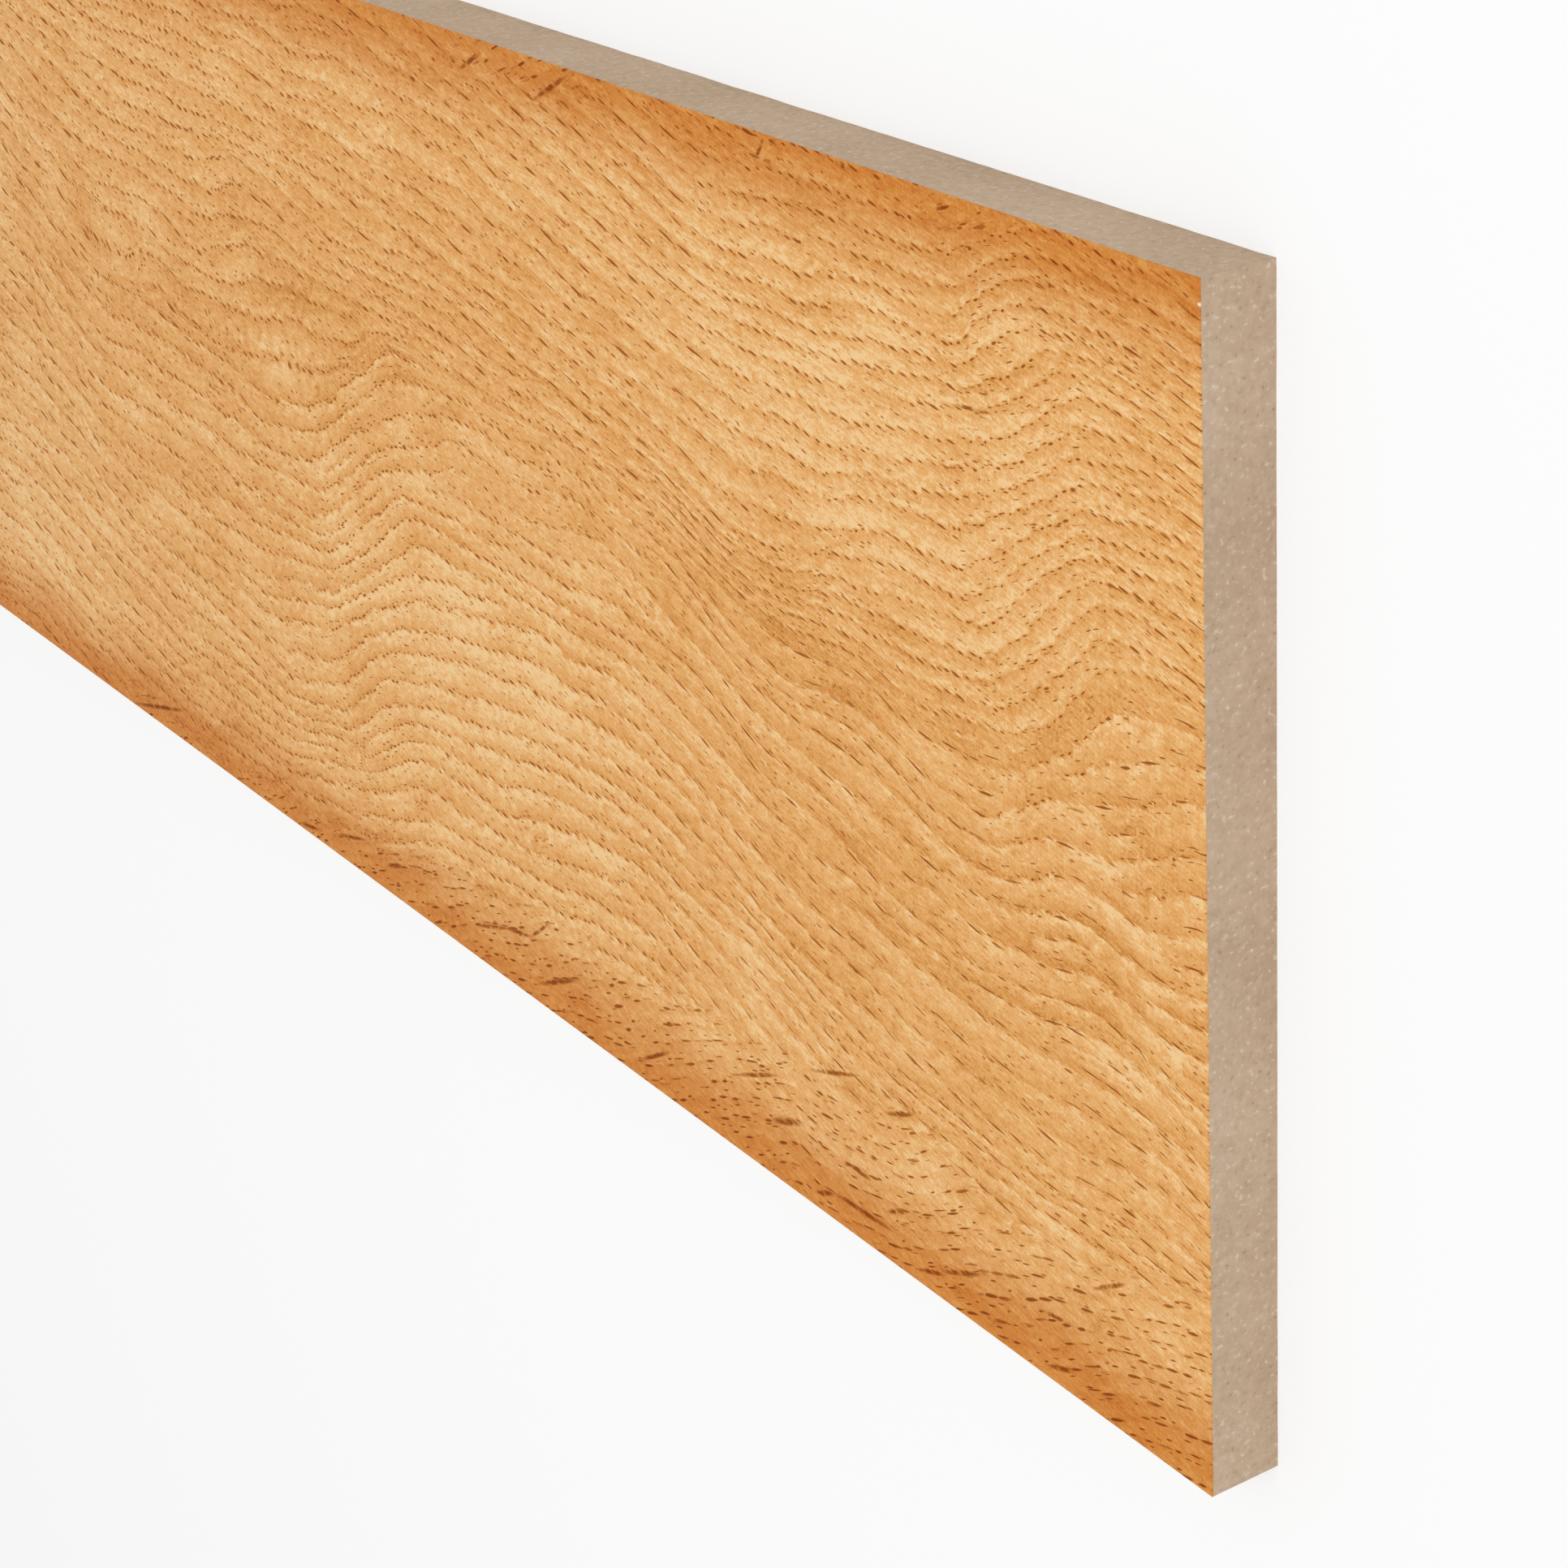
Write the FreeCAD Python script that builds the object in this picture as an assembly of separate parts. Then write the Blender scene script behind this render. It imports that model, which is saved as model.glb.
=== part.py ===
"""Stair riser board: a fibreboard core with a wood-print decor film pressed on its front face.

The board lies on its back with the printed face up. X runs along the board, Y runs up the riser
once it is fitted, and Z points out of the printed face. The origin is at the middle of the back.
"""
import FreeCAD
import Part

import os

# Driving dimensions, in millimetres
BOARD_LENGTH = 1193.8  # 47 in, along the step
BOARD_HEIGHT = 187.325  # 7 3/8 in, from the bottom edge to the top edge of the riser
CORE_THICKNESS = 12.5  # the sawn fibreboard
FILM_THICKNESS = 0.2  # the decor film, which brings the board to 1/2 in


def section(low, high):
    """Closed outline across the board between two heights, in the plane of its left-hand end."""
    end = -BOARD_LENGTH / 2
    edge = BOARD_HEIGHT / 2
    corners = [
        FreeCAD.Vector(end, -edge, low),
        FreeCAD.Vector(end, edge, low),
        FreeCAD.Vector(end, edge, high),
        FreeCAD.Vector(end, -edge, high),
    ]
    return Part.Face(Part.makePolygon(corners + corners[:1]))


def run_out(profile):
    """The solid that a cross-section makes when it runs the whole length of the board."""
    return profile.extrude(FreeCAD.Vector(BOARD_LENGTH, 0, 0))


def core_board():
    """Fibreboard sawn square on all four sides, so that its long edges and ends stay raw."""
    return run_out(section(0, CORE_THICKNESS))


def decor_film():
    """Printed film, trimmed flush with the sawn edges of the core that it is pressed on."""
    return run_out(section(CORE_THICKNESS, CORE_THICKNESS + FILM_THICKNESS))


PIECES = {
    "core_board": core_board(),
    "decor_film": decor_film(),
}

os.makedirs("parts", exist_ok=True)
for name, solid in PIECES.items():
    box = solid.BoundBox
    print(name, solid.isValid(), f"{box.XLength:.2f} x {box.YLength:.2f} x {box.ZLength:.2f} mm")
    solid.exportStep(f"parts/{name}.step")
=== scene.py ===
"""Looks of the stair riser board: a raw fibreboard core with a wood-print decor film on its face.

The board lies on its back on a white studio floor. X runs along it, Y up the riser, Z out of the face.
"""

import bpy
import numpy as np
from mathutils import Euler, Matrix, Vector, noise


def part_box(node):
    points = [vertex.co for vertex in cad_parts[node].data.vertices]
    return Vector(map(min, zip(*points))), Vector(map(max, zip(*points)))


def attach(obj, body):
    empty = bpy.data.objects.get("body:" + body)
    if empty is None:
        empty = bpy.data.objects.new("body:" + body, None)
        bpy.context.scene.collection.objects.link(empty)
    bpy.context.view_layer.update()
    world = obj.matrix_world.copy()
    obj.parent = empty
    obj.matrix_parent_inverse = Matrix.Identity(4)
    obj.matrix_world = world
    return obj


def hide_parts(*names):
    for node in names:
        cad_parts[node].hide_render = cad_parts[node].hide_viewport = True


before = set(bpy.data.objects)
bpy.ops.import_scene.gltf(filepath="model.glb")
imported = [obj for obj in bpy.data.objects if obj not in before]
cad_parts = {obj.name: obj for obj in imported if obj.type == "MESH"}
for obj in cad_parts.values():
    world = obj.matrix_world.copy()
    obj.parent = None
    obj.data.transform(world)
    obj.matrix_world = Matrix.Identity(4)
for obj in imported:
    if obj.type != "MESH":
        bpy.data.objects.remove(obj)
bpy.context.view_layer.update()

# Core board
# The real piece is medium-density fibreboard: wood fibre and resin pressed to a sheet.
# It is ripped to height and cut to length with a fine saw, and its edges are left raw.
MM = 0.001
core_low, core_high = (Vector(corner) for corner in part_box("core_board"))
SAW_STEP = 1.5 * MM  # cell of the sawn edge's mesh
SAW_RELIEF = 0.05 * MM  # how deep the saw tears the fibres
TEAR_SIZE = 2.2 * MM  # of one torn place
ARRIS_WEAR = 0.10 * MM  # how far the back arris is rubbed
WEAR_SIZE = 9 * MM  # of one rubbed place
CORE_LEVELS = 8  # cells through the thickness


def linear(hex_colour):
    """Turns an sRGB hex colour to the linear RGBA that a shader socket takes."""
    parts = [int(hex_colour[i:i + 2], 16) / 255 for i in (1, 3, 5)]
    return [p / 12.92 if p <= 0.04045 else ((p + 0.055) / 1.055) ** 2.4 for p in parts] + [1.0]


def add_node(tree, kind, *values, into=None, **settings):
    """Adds a node, sets it up, and fills its inputs in order and by name with values, sockets or nodes."""
    node = tree.nodes.new(kind)
    for name, setting in settings.items():
        setattr(node, name, setting)
    for socket, value in [*enumerate(values), *(into or {}).items()]:
        if isinstance(value, bpy.types.Node):
            value = value.outputs[0]
        if isinstance(value, bpy.types.NodeSocket):
            tree.links.new(value, node.inputs[socket])
        else:
            node.inputs[socket].default_value = value
    return node


def along_edges():
    """Gives the places around the core's outline, with the way in from the sawn face at each."""
    places = []
    corners = [(core_low.x, core_low.y), (core_high.x, core_low.y),
               (core_high.x, core_high.y), (core_low.x, core_high.y)]
    for start, stop in zip(corners, corners[1:] + corners[:1]):
        start, stop = Vector(start), Vector(stop)
        run = stop - start
        inward = Vector((-run.y, run.x)).normalized()
        steps = round(run.length / SAW_STEP)
        places += [(start + run * i / steps, inward, i == 0) for i in range(steps)]
    return places


outline = along_edges()
around = len(outline)
core_points = []
for level in range(CORE_LEVELS + 1):
    height = core_low.z + (core_high.z - core_low.z) * level / CORE_LEVELS
    for place, inward, is_corner in outline:
        spot = Vector((place.x, place.y, height))
        tear = SAW_RELIEF * abs(noise.noise(spot / TEAR_SIZE))
        if level == 0:
            tear += ARRIS_WEAR * max(0.0, noise.noise(spot / WEAR_SIZE))
        if is_corner:
            inward = Vector((1.0 if place.x < 0 else -1.0, 1.0 if place.y < 0 else -1.0))
        core_points.append((place.x + inward.x * tear, place.y + inward.y * tear, height))
core_faces = []
for level in range(CORE_LEVELS):
    below, above = level * around, (level + 1) * around
    for i in range(around):
        following = (i + 1) % around
        core_faces.append((below + i, below + following, above + following, above + i))
core_faces.append(tuple(reversed(range(around))))
core_faces.append(tuple(range(CORE_LEVELS * around, (CORE_LEVELS + 1) * around)))
core_mesh = bpy.data.meshes.new("core_board_sawn")
core_mesh.from_pydata(core_points, [], core_faces)
core_board = bpy.data.objects.new("core_board_sawn", core_mesh)
bpy.context.collection.objects.link(core_board)

# Raw sawn fibreboard: a dull, even tan of matted fibre, with paler flecks, and darker flecks in its small
# pits that are partly darker fibre and partly painted shade.
CLOUD, MOTTLE = 22 * MM, 1.8 * MM  # slow clouds of colour, and the matted fibre in them
FLECK = 0.9 * MM  # single fibres are finer, and are drawn as coarse as they need to show
MOTTLE_SHARE = 0.6
PIT_DEPTH = 0.15 * MM
# For each, two levels of the noise, and then the share or the roughness at both.
MATTED, PALE_FLECKS = (0.38, 0.62, 0.0, 1.0), (0.60, 0.72, 0.0, 0.8)
DARK_FLECKS_AND_PIT_SHADE, ROUGH_FLECKS = (0.37, 0.29, 0.0, 0.5), (0.3, 0.7, 0.95, 0.8)
fibreboard = bpy.data.materials.new("raw sawn fibreboard")
fibreboard.use_nodes = True
tree = fibreboard.node_tree
shader = tree.nodes["Principled BSDF"]
shader.inputs["Specular IOR Level"].default_value = 0.2
place = add_node(tree, "ShaderNodeTexCoord").outputs["Object"]
cloud = add_node(tree, "ShaderNodeTexNoise", place, into={"Scale": 1 / CLOUD, "Detail": 4.0})
fleck = add_node(tree, "ShaderNodeTexNoise", place, into={
    "Scale": 1 / FLECK, "Detail": 3.0, "Roughness": 0.6})
mottle = add_node(tree, "ShaderNodeTexNoise", place, into={
    "Scale": 1 / MOTTLE, "Detail": 4.0, "Roughness": 0.65})
matted = add_node(tree, "ShaderNodeMix", into={"Factor": MOTTLE_SHARE, "A": cloud, "B": mottle})
matted = add_node(tree, "ShaderNodeMapRange", matted, *MATTED)
body = add_node(tree, "ShaderNodeMixRGB", matted, linear("#b89f84"), linear("#c8b097"))
pale = add_node(tree, "ShaderNodeMapRange", fleck, *PALE_FLECKS)
# The darker flecks lie where the bump below is lowest: partly darker fibre, partly painted shade in the pits.
dark = add_node(tree, "ShaderNodeMapRange", fleck, *DARK_FLECKS_AND_PIT_SHADE)
flecked = add_node(tree, "ShaderNodeMixRGB", pale, body, linear("#dccdb8"))
flecked = add_node(tree, "ShaderNodeMixRGB", dark, flecked, linear("#937c60"))
tree.links.new(flecked.outputs[0], shader.inputs["Base Color"])
rough = add_node(tree, "ShaderNodeMapRange", fleck, *ROUGH_FLECKS)
tree.links.new(rough.outputs[0], shader.inputs["Roughness"])
bump = add_node(tree, "ShaderNodeBump", into={"Height": fleck, "Strength": 0.5, "Distance": PIT_DEPTH})
tree.links.new(bump.outputs[0], shader.inputs["Normal"])
core_mesh.materials.append(fibreboard)
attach(core_board, "root")
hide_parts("core_board")

# Decor film
# The real piece is paper printed with oak grain, soaked in resin and pressed on the core.
# The press plate gives it a satin surface, and it is trimmed flush with the sawn core.
film_low, film_high = (Vector(corner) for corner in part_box("decor_film"))
film_size = film_high - film_low
HALF_HEIGHT = film_size.y / MM / 2
FILM_CELL_LONG, FILM_CELL_HIGH = 2.6, 2.1  # mm, cell of the mesh that carries the figure
DRAWN = 480.0  # mm of the board that the drawn ring lines cover, from the right-hand end
STRETCH = 0.8  # the lines repeat mirrored beyond that, longer by the inverse of this
WALK_FROM, WALK_TO, LINE_STEP = -1300.0, 60.0, 1.0  # mm from the end, for the points of a rounded line
RING_BLUR, ROW_BLUR = 4.0, 1.5  # mm, rounds the corners of the drawn lines
BLUR_REACH = 4  # blurs to either side that count

# Ring lines of the figure, drawn one by one. Each has its ring number and then points: mm from the
# right-hand end and mm down from the top edge.
RING_LINES = [
    (-2.2, [(-480, -38), (-440, -36), (-400, -26), (-360, -18), (-300, -14), (-240, -10), (-210, -4),
            (-190, 1), (-170, 7.5), (-150, 14), (-130, 18.7), (-110, 20.3), (-90, 18.8), (-75, 16.2),
            (-58, 16.3), (-50, 14.5), (-42, 11), (-34, 5), (-26, 1.5), (-16, 0.5), (0, 3)]),
    (2.3, [(-480, -14), (-440, -12), (-400, -4), (-360, 5), (-320, 8), (-285, 7.5), (-255, 11), (-230, 14),
           (-210, 17.5), (-180, 24.7), (-150, 33), (-130, 38.3), (-110, 40.4), (-90, 40.3), (-60, 37.8),
           (-50, 35.8), (-40, 31), (-34, 27), (-27, 23), (-18, 21.2), (-8, 22), (0, 24)]),
    (7.4, [(-480, 9), (-440, 10), (-420, 14), (-380, 25), (-360, 28.4), (-330, 29.5), (-305, 31.2),
           (-278, 29.6), (-255, 33), (-230, 36), (-210, 40.5), (-180, 49), (-150, 56), (-130, 61),
           (-115, 62.4), (-100, 61.2), (-85, 58), (-72, 55.3), (-60, 56.2), (-51, 55.3), (-40, 50),
           (-30, 44.3), (-22, 41), (-14, 40), (0, 42)]),
    (13.0, [(-480, 36), (-440, 37), (-420, 42), (-396, 51), (-370, 57.5), (-340, 59), (-315, 60),
            (-295, 57.4), (-280, 56.3), (-250, 56.8), (-220, 56), (-200, 59.5), (-170, 65.5), (-150, 70),
            (-130, 75.7), (-115, 78.8), (-100, 79.5), (-85, 80.5), (-70, 86), (-60, 85.6), (-51, 83.3),
            (-40, 75.5), (-32, 71.6), (-20, 69.2), (-8, 69.3), (0, 70.5)]),
    (14.5, [(-480, 53), (-440, 55), (-420, 61), (-390, 72.5), (-370, 77.5), (-340, 80), (-300, 82.5),
            (-280, 81.3), (-265, 77.5), (-240, 70.5), (-225, 68.8), (-210, 68.5), (-190, 72.5),
            (-170, 73.5), (-150, 78.3), (-130, 85.5), (-110, 92), (-90, 96.5), (-72, 100), (-60, 98.2),
            (-50, 97), (-40, 93), (-30, 90.3), (-20, 91), (-10, 94), (0, 96)]),
    (19.6, [(-480, 91), (-450, 92), (-433, 94), (-410, 100), (-385, 108), (-370, 110.5), (-345, 112),
            (-310, 115), (-290, 114.3), (-278, 113), (-268, 109), (-255, 101), (-240, 96), (-225, 94.2),
            (-208, 94), (-190, 91.5), (-170, 92), (-150, 95), (-130, 102), (-110, 108.5), (-80, 115),
            (-62, 118), (-50, 117), (-38, 113), (-28, 110.4), (-21, 110.6), (-10, 114.5), (0, 118)]),
    (24.4, [(-480, 123), (-440, 123.5), (-420, 126), (-400, 130.5), (-380, 137), (-360, 141.5), (-325, 145),
            (-290, 148.5), (-279, 147.3), (-266, 140.5), (-250, 132.5), (-235, 129), (-207, 127.5),
            (-186, 125), (-166, 123.8), (-145, 125.8), (-120, 133), (-100, 139), (-70, 145.5), (-45, 148.5),
            (-20, 149), (0, 147)]),
    (32.2, [(-480, 167), (-450, 165), (-436, 166), (-411, 172.8), (-385, 178), (-350, 180.5), (-300, 179),
            (-270, 176), (-240, 170), (-200, 163.5), (-160, 161.5), (-120, 160), (-92, 154.5), (-80, 154.5),
            (-50, 160), (-35, 159.5), (-18, 155.5), (0, 150)]),
]

# The rows of pores nearer the end, drawn one by one in the same way.
ROW_LINES = [
    (-4, [(-300, -23), (-250, -24), (-225, -22), (-200, -17), (-175, -7.5), (-140, 1.5), (-128, 5),
          (-118, 6.5), (-105, 6), (-95, 5), (-80, 5.2), (-65, 5), (-57, 4.4), (-50, 1), (-42, -2),
          (-30, -5), (-15, -4), (0, -2)]),
    (-3, [(-300, -18), (-250, -19), (-225, -17.5), (-200, -12.5), (-175, -3), (-140, 6), (-133, 8),
          (-128, 9.8), (-121, 11), (-110, 11.3), (-105, 10.6), (-100, 9.8), (-90, 9.4), (-80, 9.6),
          (-65, 9.5), (-57, 9), (-50, 6.5), (-45, 4), (-38, 1.6), (-30, 0.5), (-22, 1.2), (-15, 2),
          (-8, 2.6), (0, 5)]),
    (-2, [(-300, -13), (-250, -14), (-225, -12), (-200, -8), (-175, 1.5), (-140, 10.5), (-135, 12.5),
          (-130, 14), (-122, 15.5), (-112, 15.8), (-105, 14.9), (-100, 14.3), (-95, 14.6), (-90, 13.3),
          (-85, 12.6), (-77, 13.5), (-70, 13.3), (-64, 13.5), (-57, 14.2), (-53, 13.4), (-50, 11),
          (-46, 8.3), (-42, 6.5), (-36, 4.6), (-30, 4), (-24, 4.7), (-18, 5.2), (-10, 6.2), (0, 8.6)]),
    (-1, [(-300, -8), (-250, -9), (-225, -7), (-200, -2), (-175, 5.5), (-160, 9), (-140, 14.5), (-135, 16),
          (-130, 17.5), (-123, 19.3), (-116, 20.6), (-110, 20.1), (-105, 19.6), (-98, 19.4), (-93, 19.8),
          (-89, 19.1), (-85, 18), (-80, 17.2), (-75, 17), (-70, 17.4), (-63, 17.8), (-57, 17.9),
          (-54, 17.2), (-51, 15), (-48, 12.5), (-45, 11), (-42, 9.8), (-38, 8.5), (-33, 8), (-28, 8.2),
          (-20, 8.8), (-12, 10), (-5, 11.3), (0, 12.3)]),
    (0, [(-300, -3), (-240, -3), (-225, -2), (-215, 0.5), (-207, 2.6), (-200, 4.5), (-188, 6.8),
         (-182, 8.6), (-175, 10.4), (-163, 12.5), (-140, 18.5), (-135, 20), (-131, 21), (-127, 22.4),
         (-123, 23.3), (-117, 24.2), (-110, 23.8), (-103, 23.7), (-97, 24.1), (-91, 24.2), (-87, 23.4),
         (-83, 22.5), (-79, 21.6), (-75, 21), (-71, 21.3), (-65, 21.7), (-56, 21.9), (-53, 21.2),
         (-51, 19.8), (-49, 17.4), (-47, 16), (-44, 14.4), (-41, 12.8), (-38, 12), (-34, 11.6), (-30, 11.7),
         (-25, 12.2), (-20, 12.6), (-13, 13.5), (-6, 14.8), (0, 16.2)]),
    (1, [(-300, 1), (-270, 1), (-250, 0), (-240, 1.5), (-233, 3.3), (-225, 4.5), (-216, 6.2), (-208, 8),
         (-203, 9.4), (-190, 10.7), (-181, 13), (-175, 14), (-170, 15.4), (-163, 17), (-140, 23.3),
         (-132, 25.3), (-125, 27), (-118, 28.3), (-110, 28), (-103, 27.7), (-97, 28.4), (-90, 28.4),
         (-85, 27.4), (-80, 26.8), (-75, 26.2), (-70, 25.8), (-65, 25.3), (-58, 25), (-54, 24.9),
         (-51, 23.6), (-49, 21.5), (-46.5, 19.2), (-44, 17.8), (-41, 16.4), (-38, 15.2), (-34, 14.4),
         (-30, 14.2), (-25, 14.4), (-20, 14.9), (-15, 15.4), (-8, 16.4), (-4, 17.2), (0, 18.4)]),
    (2, [(-300, 6), (-285, 6), (-270, 6.2), (-266, 6.7), (-260, 5.6), (-254, 4.4), (-247, 4.5), (-242, 6.2),
         (-235, 7.2), (-229, 8.7), (-225, 9.8), (-217, 10), (-211, 11.3), (-205, 12.2), (-200, 13.2),
         (-195, 14.8), (-189, 16.4), (-178, 18.3), (-170, 19.6), (-163, 21.3), (-140, 27.5), (-133, 28.8),
         (-127, 30), (-120, 31.3), (-113, 31.9), (-106, 31.4), (-100, 31.3), (-93, 31.7), (-88, 31.2),
         (-82, 30.5), (-75, 30), (-70, 29.3), (-65, 28.6), (-58, 28.1), (-53, 28.1), (-50, 27.2),
         (-48, 26.1), (-46, 25.3), (-44, 24.6), (-41, 23.2), (-39, 21.6), (-37, 20), (-35, 18.5),
         (-33, 17.4), (-30, 16.8), (-26, 16.5), (-22, 16.6), (-17, 17.4), (-13, 17.8), (-9, 18.4),
         (-5, 19.2), (0, 20.5)]),
    (3, [(-300, 12), (-285, 11.5), (-275, 11.8), (-269, 13.4), (-263, 14), (-256, 14.1), (-249, 12.8),
         (-242, 12.8), (-236, 13.3), (-230, 14.6), (-225, 15), (-219, 15), (-212, 16.2), (-206, 16.6),
         (-200, 17.2), (-196, 18.4), (-191, 20.4), (-185, 22.4), (-178, 23.4), (-172, 24.3), (-163, 26.4),
         (-140, 31), (-135, 32.5), (-128, 33.8), (-117, 34.9), (-110, 35.4), (-105, 35.2), (-100, 34.8),
         (-92, 35.1), (-88, 35.2), (-84, 34.6), (-77, 34), (-71, 33.6), (-65, 32.6), (-60, 31.9),
         (-56, 31.5), (-54, 30.6), (-50, 29.9), (-46, 29.4), (-44, 28.4), (-42, 27.5), (-40, 26.3),
         (-38, 24.9), (-36.5, 23.6), (-35, 22.6), (-33.5, 21.4), (-32, 20.4), (-30, 19.6), (-27, 19),
         (-23, 18.8), (-19, 19.3), (-14, 20.2), (-9, 20.8), (-5, 21.5), (0, 22.8)]),
    (4, [(-300, 16.2), (-285, 15.2), (-276, 15.8), (-270, 17.5), (-261, 18.7), (-250, 19), (-240, 19.4),
         (-233, 19.2), (-225, 18.8), (-220, 19), (-216, 20), (-210, 21.5), (-203, 22), (-197, 23.5),
         (-193, 25.1), (-186, 26.8), (-179, 27.4), (-174, 28.2), (-167, 30.3), (-160, 31.8), (-140, 36),
         (-135, 37.5), (-123, 39), (-118, 40.1), (-109, 40.3), (-103, 40), (-97, 39.6), (-92, 40),
         (-88, 40.8), (-84, 40.5), (-80, 39.9), (-75, 39.5), (-70, 38.6), (-64, 37.8), (-60, 37.4),
         (-57, 37), (-54, 36.3), (-51, 35.7), (-48, 34.6), (-46, 34), (-44, 33.3), (-42, 32.4), (-40, 31.4),
         (-38.5, 30.4), (-37, 29.3), (-35.5, 28), (-34, 27), (-32.5, 26.2), (-31, 25.3), (-30, 24.6),
         (-28.5, 23.6), (-27, 22.9), (-25, 22.3), (-22, 21.9), (-18, 21.9), (-13, 22.6), (-9, 23.2),
         (-5, 23.8), (0, 25.2)]),
    (5, [(-300, 21.5), (-288, 20), (-278, 21.5), (-272, 22.8), (-266, 23.6), (-260, 22.6), (-254, 22.2),
         (-247, 23.4), (-240, 25), (-233, 25.8), (-225, 25.5), (-220, 26.2), (-215, 27.5), (-207, 28.3),
         (-200, 28.8), (-195, 30.8), (-189, 32.3), (-182, 32.3), (-175, 33.2), (-168, 35.3), (-160, 37.5),
         (-140, 40.5), (-135, 42.2), (-125, 43.4), (-115, 44.6), (-110, 44.7), (-104, 44.1), (-96, 44.2),
         (-92, 44.7), (-88.5, 45), (-85.5, 44.6), (-82, 43.9), (-77, 43.4), (-70, 42.6), (-66, 42),
         (-60, 41.3), (-57, 40.7), (-54, 39.8), (-51, 39.3), (-48, 38.4), (-45.5, 37.5), (-42, 36.2),
         (-40, 35.2), (-38, 33.8), (-36, 32.6), (-34, 31.2), (-32.5, 30.3), (-31, 29.2), (-30, 28.5),
         (-28, 27.5), (-26, 26.5), (-24, 26), (-21, 25.7), (-17, 25.7), (-12, 26.3), (-8, 26.6), (-4, 27.2),
         (0, 28.2)]),
    (6, [(-300, 25), (-290, 24.3), (-280, 26), (-270, 26.5), (-256, 26.6), (-248, 27.5), (-240, 29.6),
         (-233, 30.6), (-225, 30.8), (-218, 30.9), (-213, 31.9), (-207, 33.1), (-200, 33.4), (-194, 35),
         (-188, 36.4), (-181, 36.6), (-172, 38.9), (-164, 40.5), (-140, 45.5), (-135, 46.8), (-130, 47.6),
         (-125, 48.6), (-120, 49.7), (-112, 50.1), (-106, 49.8), (-100, 49.8), (-93, 50.5), (-90, 50.7),
         (-87.5, 50), (-85, 49.2), (-82, 48.5), (-79, 48), (-75, 47.6), (-69, 47), (-64, 46.2), (-58, 45.4),
         (-55, 45.1), (-53, 44.3), (-50, 43.5), (-47, 42.1), (-44, 41), (-41, 39.7), (-38.5, 38.6),
         (-36, 37.3), (-34, 36), (-32, 34.4), (-30, 32.9), (-28, 31.9), (-26, 31.1), (-23, 30.9),
         (-19, 30.9), (-15, 30.3), (-12, 29.6), (-8, 29.3), (-4, 29.8), (0, 30.9)]),
    (7, [(-300, 29.3), (-290, 29.4), (-280, 30.6), (-271, 30.7), (-264, 32), (-257, 33.3), (-250, 33.8),
         (-244, 33.7), (-238, 34.5), (-232, 36), (-225, 36), (-219, 36.2), (-214, 37), (-208, 38.5),
         (-202, 40), (-195, 41.5), (-190, 42), (-183, 43.2), (-175, 45), (-166, 46.1), (-160, 47.2),
         (-140, 50.5), (-131, 52.2), (-127, 53.3), (-120, 54.6), (-110, 55), (-103, 54.8), (-95, 55.3),
         (-90, 54.6), (-86, 53), (-82, 51.7), (-79, 51), (-73, 50.6), (-65, 50.1), (-60, 49.3), (-54, 48.6),
         (-51, 47.8), (-49, 46.7), (-47, 45.3), (-45, 44.3), (-43, 43.3), (-40, 42), (-38, 40.9),
         (-34, 39.4), (-32, 38.2), (-30.5, 36.9), (-29, 35.8), (-27.5, 35.1), (-26, 34.6), (-24, 34.1),
         (-19, 33.7), (-15, 33.3), (-12, 32.7), (-8, 32.1), (-5, 32.5), (-2, 33.2), (0, 33.7)]),
    (8, [(-300, 33.7), (-290, 34.4), (-280, 35), (-262, 35.6), (-254, 36.2), (-246, 37), (-238, 39),
         (-231, 40.4), (-225, 40), (-213, 41.8), (-207, 43.3), (-200, 43.8), (-194, 44.6), (-189, 45.3),
         (-183, 47), (-175, 48.8), (-168, 50.1), (-162, 51), (-140, 55.5), (-135, 56.6), (-131, 58),
         (-125, 60.3), (-120, 61.8), (-116, 62.3), (-109, 61.7), (-105, 61.1), (-100, 61.2), (-95, 60.8),
         (-90, 60), (-85, 58.6), (-82, 57.2), (-78, 56.3), (-74, 55.7), (-70, 55.2), (-65, 55.8),
         (-60, 56.2), (-55, 56), (-52, 55), (-50, 53.5), (-47.5, 52), (-45.5, 50.6), (-43, 49.2),
         (-41, 47.8), (-39, 46.5), (-37, 45.4), (-35, 44.4), (-33, 43.2), (-31, 42.1), (-29, 40.6),
         (-26, 39.2), (-23, 38.5), (-17, 38.4), (-12, 37.8), (-9, 37.2), (-5, 36.8), (0, 37.4)]),
    (9, [(-300, 36.3), (-290, 36.8), (-280, 37.2), (-271, 38.5), (-265, 40), (-258, 41.8), (-250, 42.8),
         (-242, 44), (-235, 45.2), (-230, 45.5), (-225, 45), (-219, 45), (-212, 46.8), (-205, 47.8),
         (-198, 48.8), (-190, 50), (-184, 52.3), (-177, 53.4), (-170, 55.2), (-163, 56.3), (-140, 60.5),
         (-136, 62.3), (-131, 64), (-124, 65.8), (-118, 67.4), (-112, 68), (-108, 67.7), (-105, 67.2),
         (-100, 66), (-95, 64.7), (-90, 63.2), (-86, 62.4), (-80, 62), (-77, 61.1), (-72, 59.9),
         (-65, 60.1), (-58, 60.4), (-54, 60), (-51, 58.6), (-49, 57.4), (-47, 56.4), (-45, 55.1),
         (-43, 53.6), (-41, 52.1), (-40, 50.8), (-38, 49.3), (-37, 48.4), (-34.5, 46.8), (-32, 45.6),
         (-30, 44.5), (-28, 43.5), (-26.5, 42.8), (-25, 41.9), (-23, 41.3), (-20, 41.1), (-15, 41.1),
         (-11, 40.6), (-5, 40.4), (0, 41)]),
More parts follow.
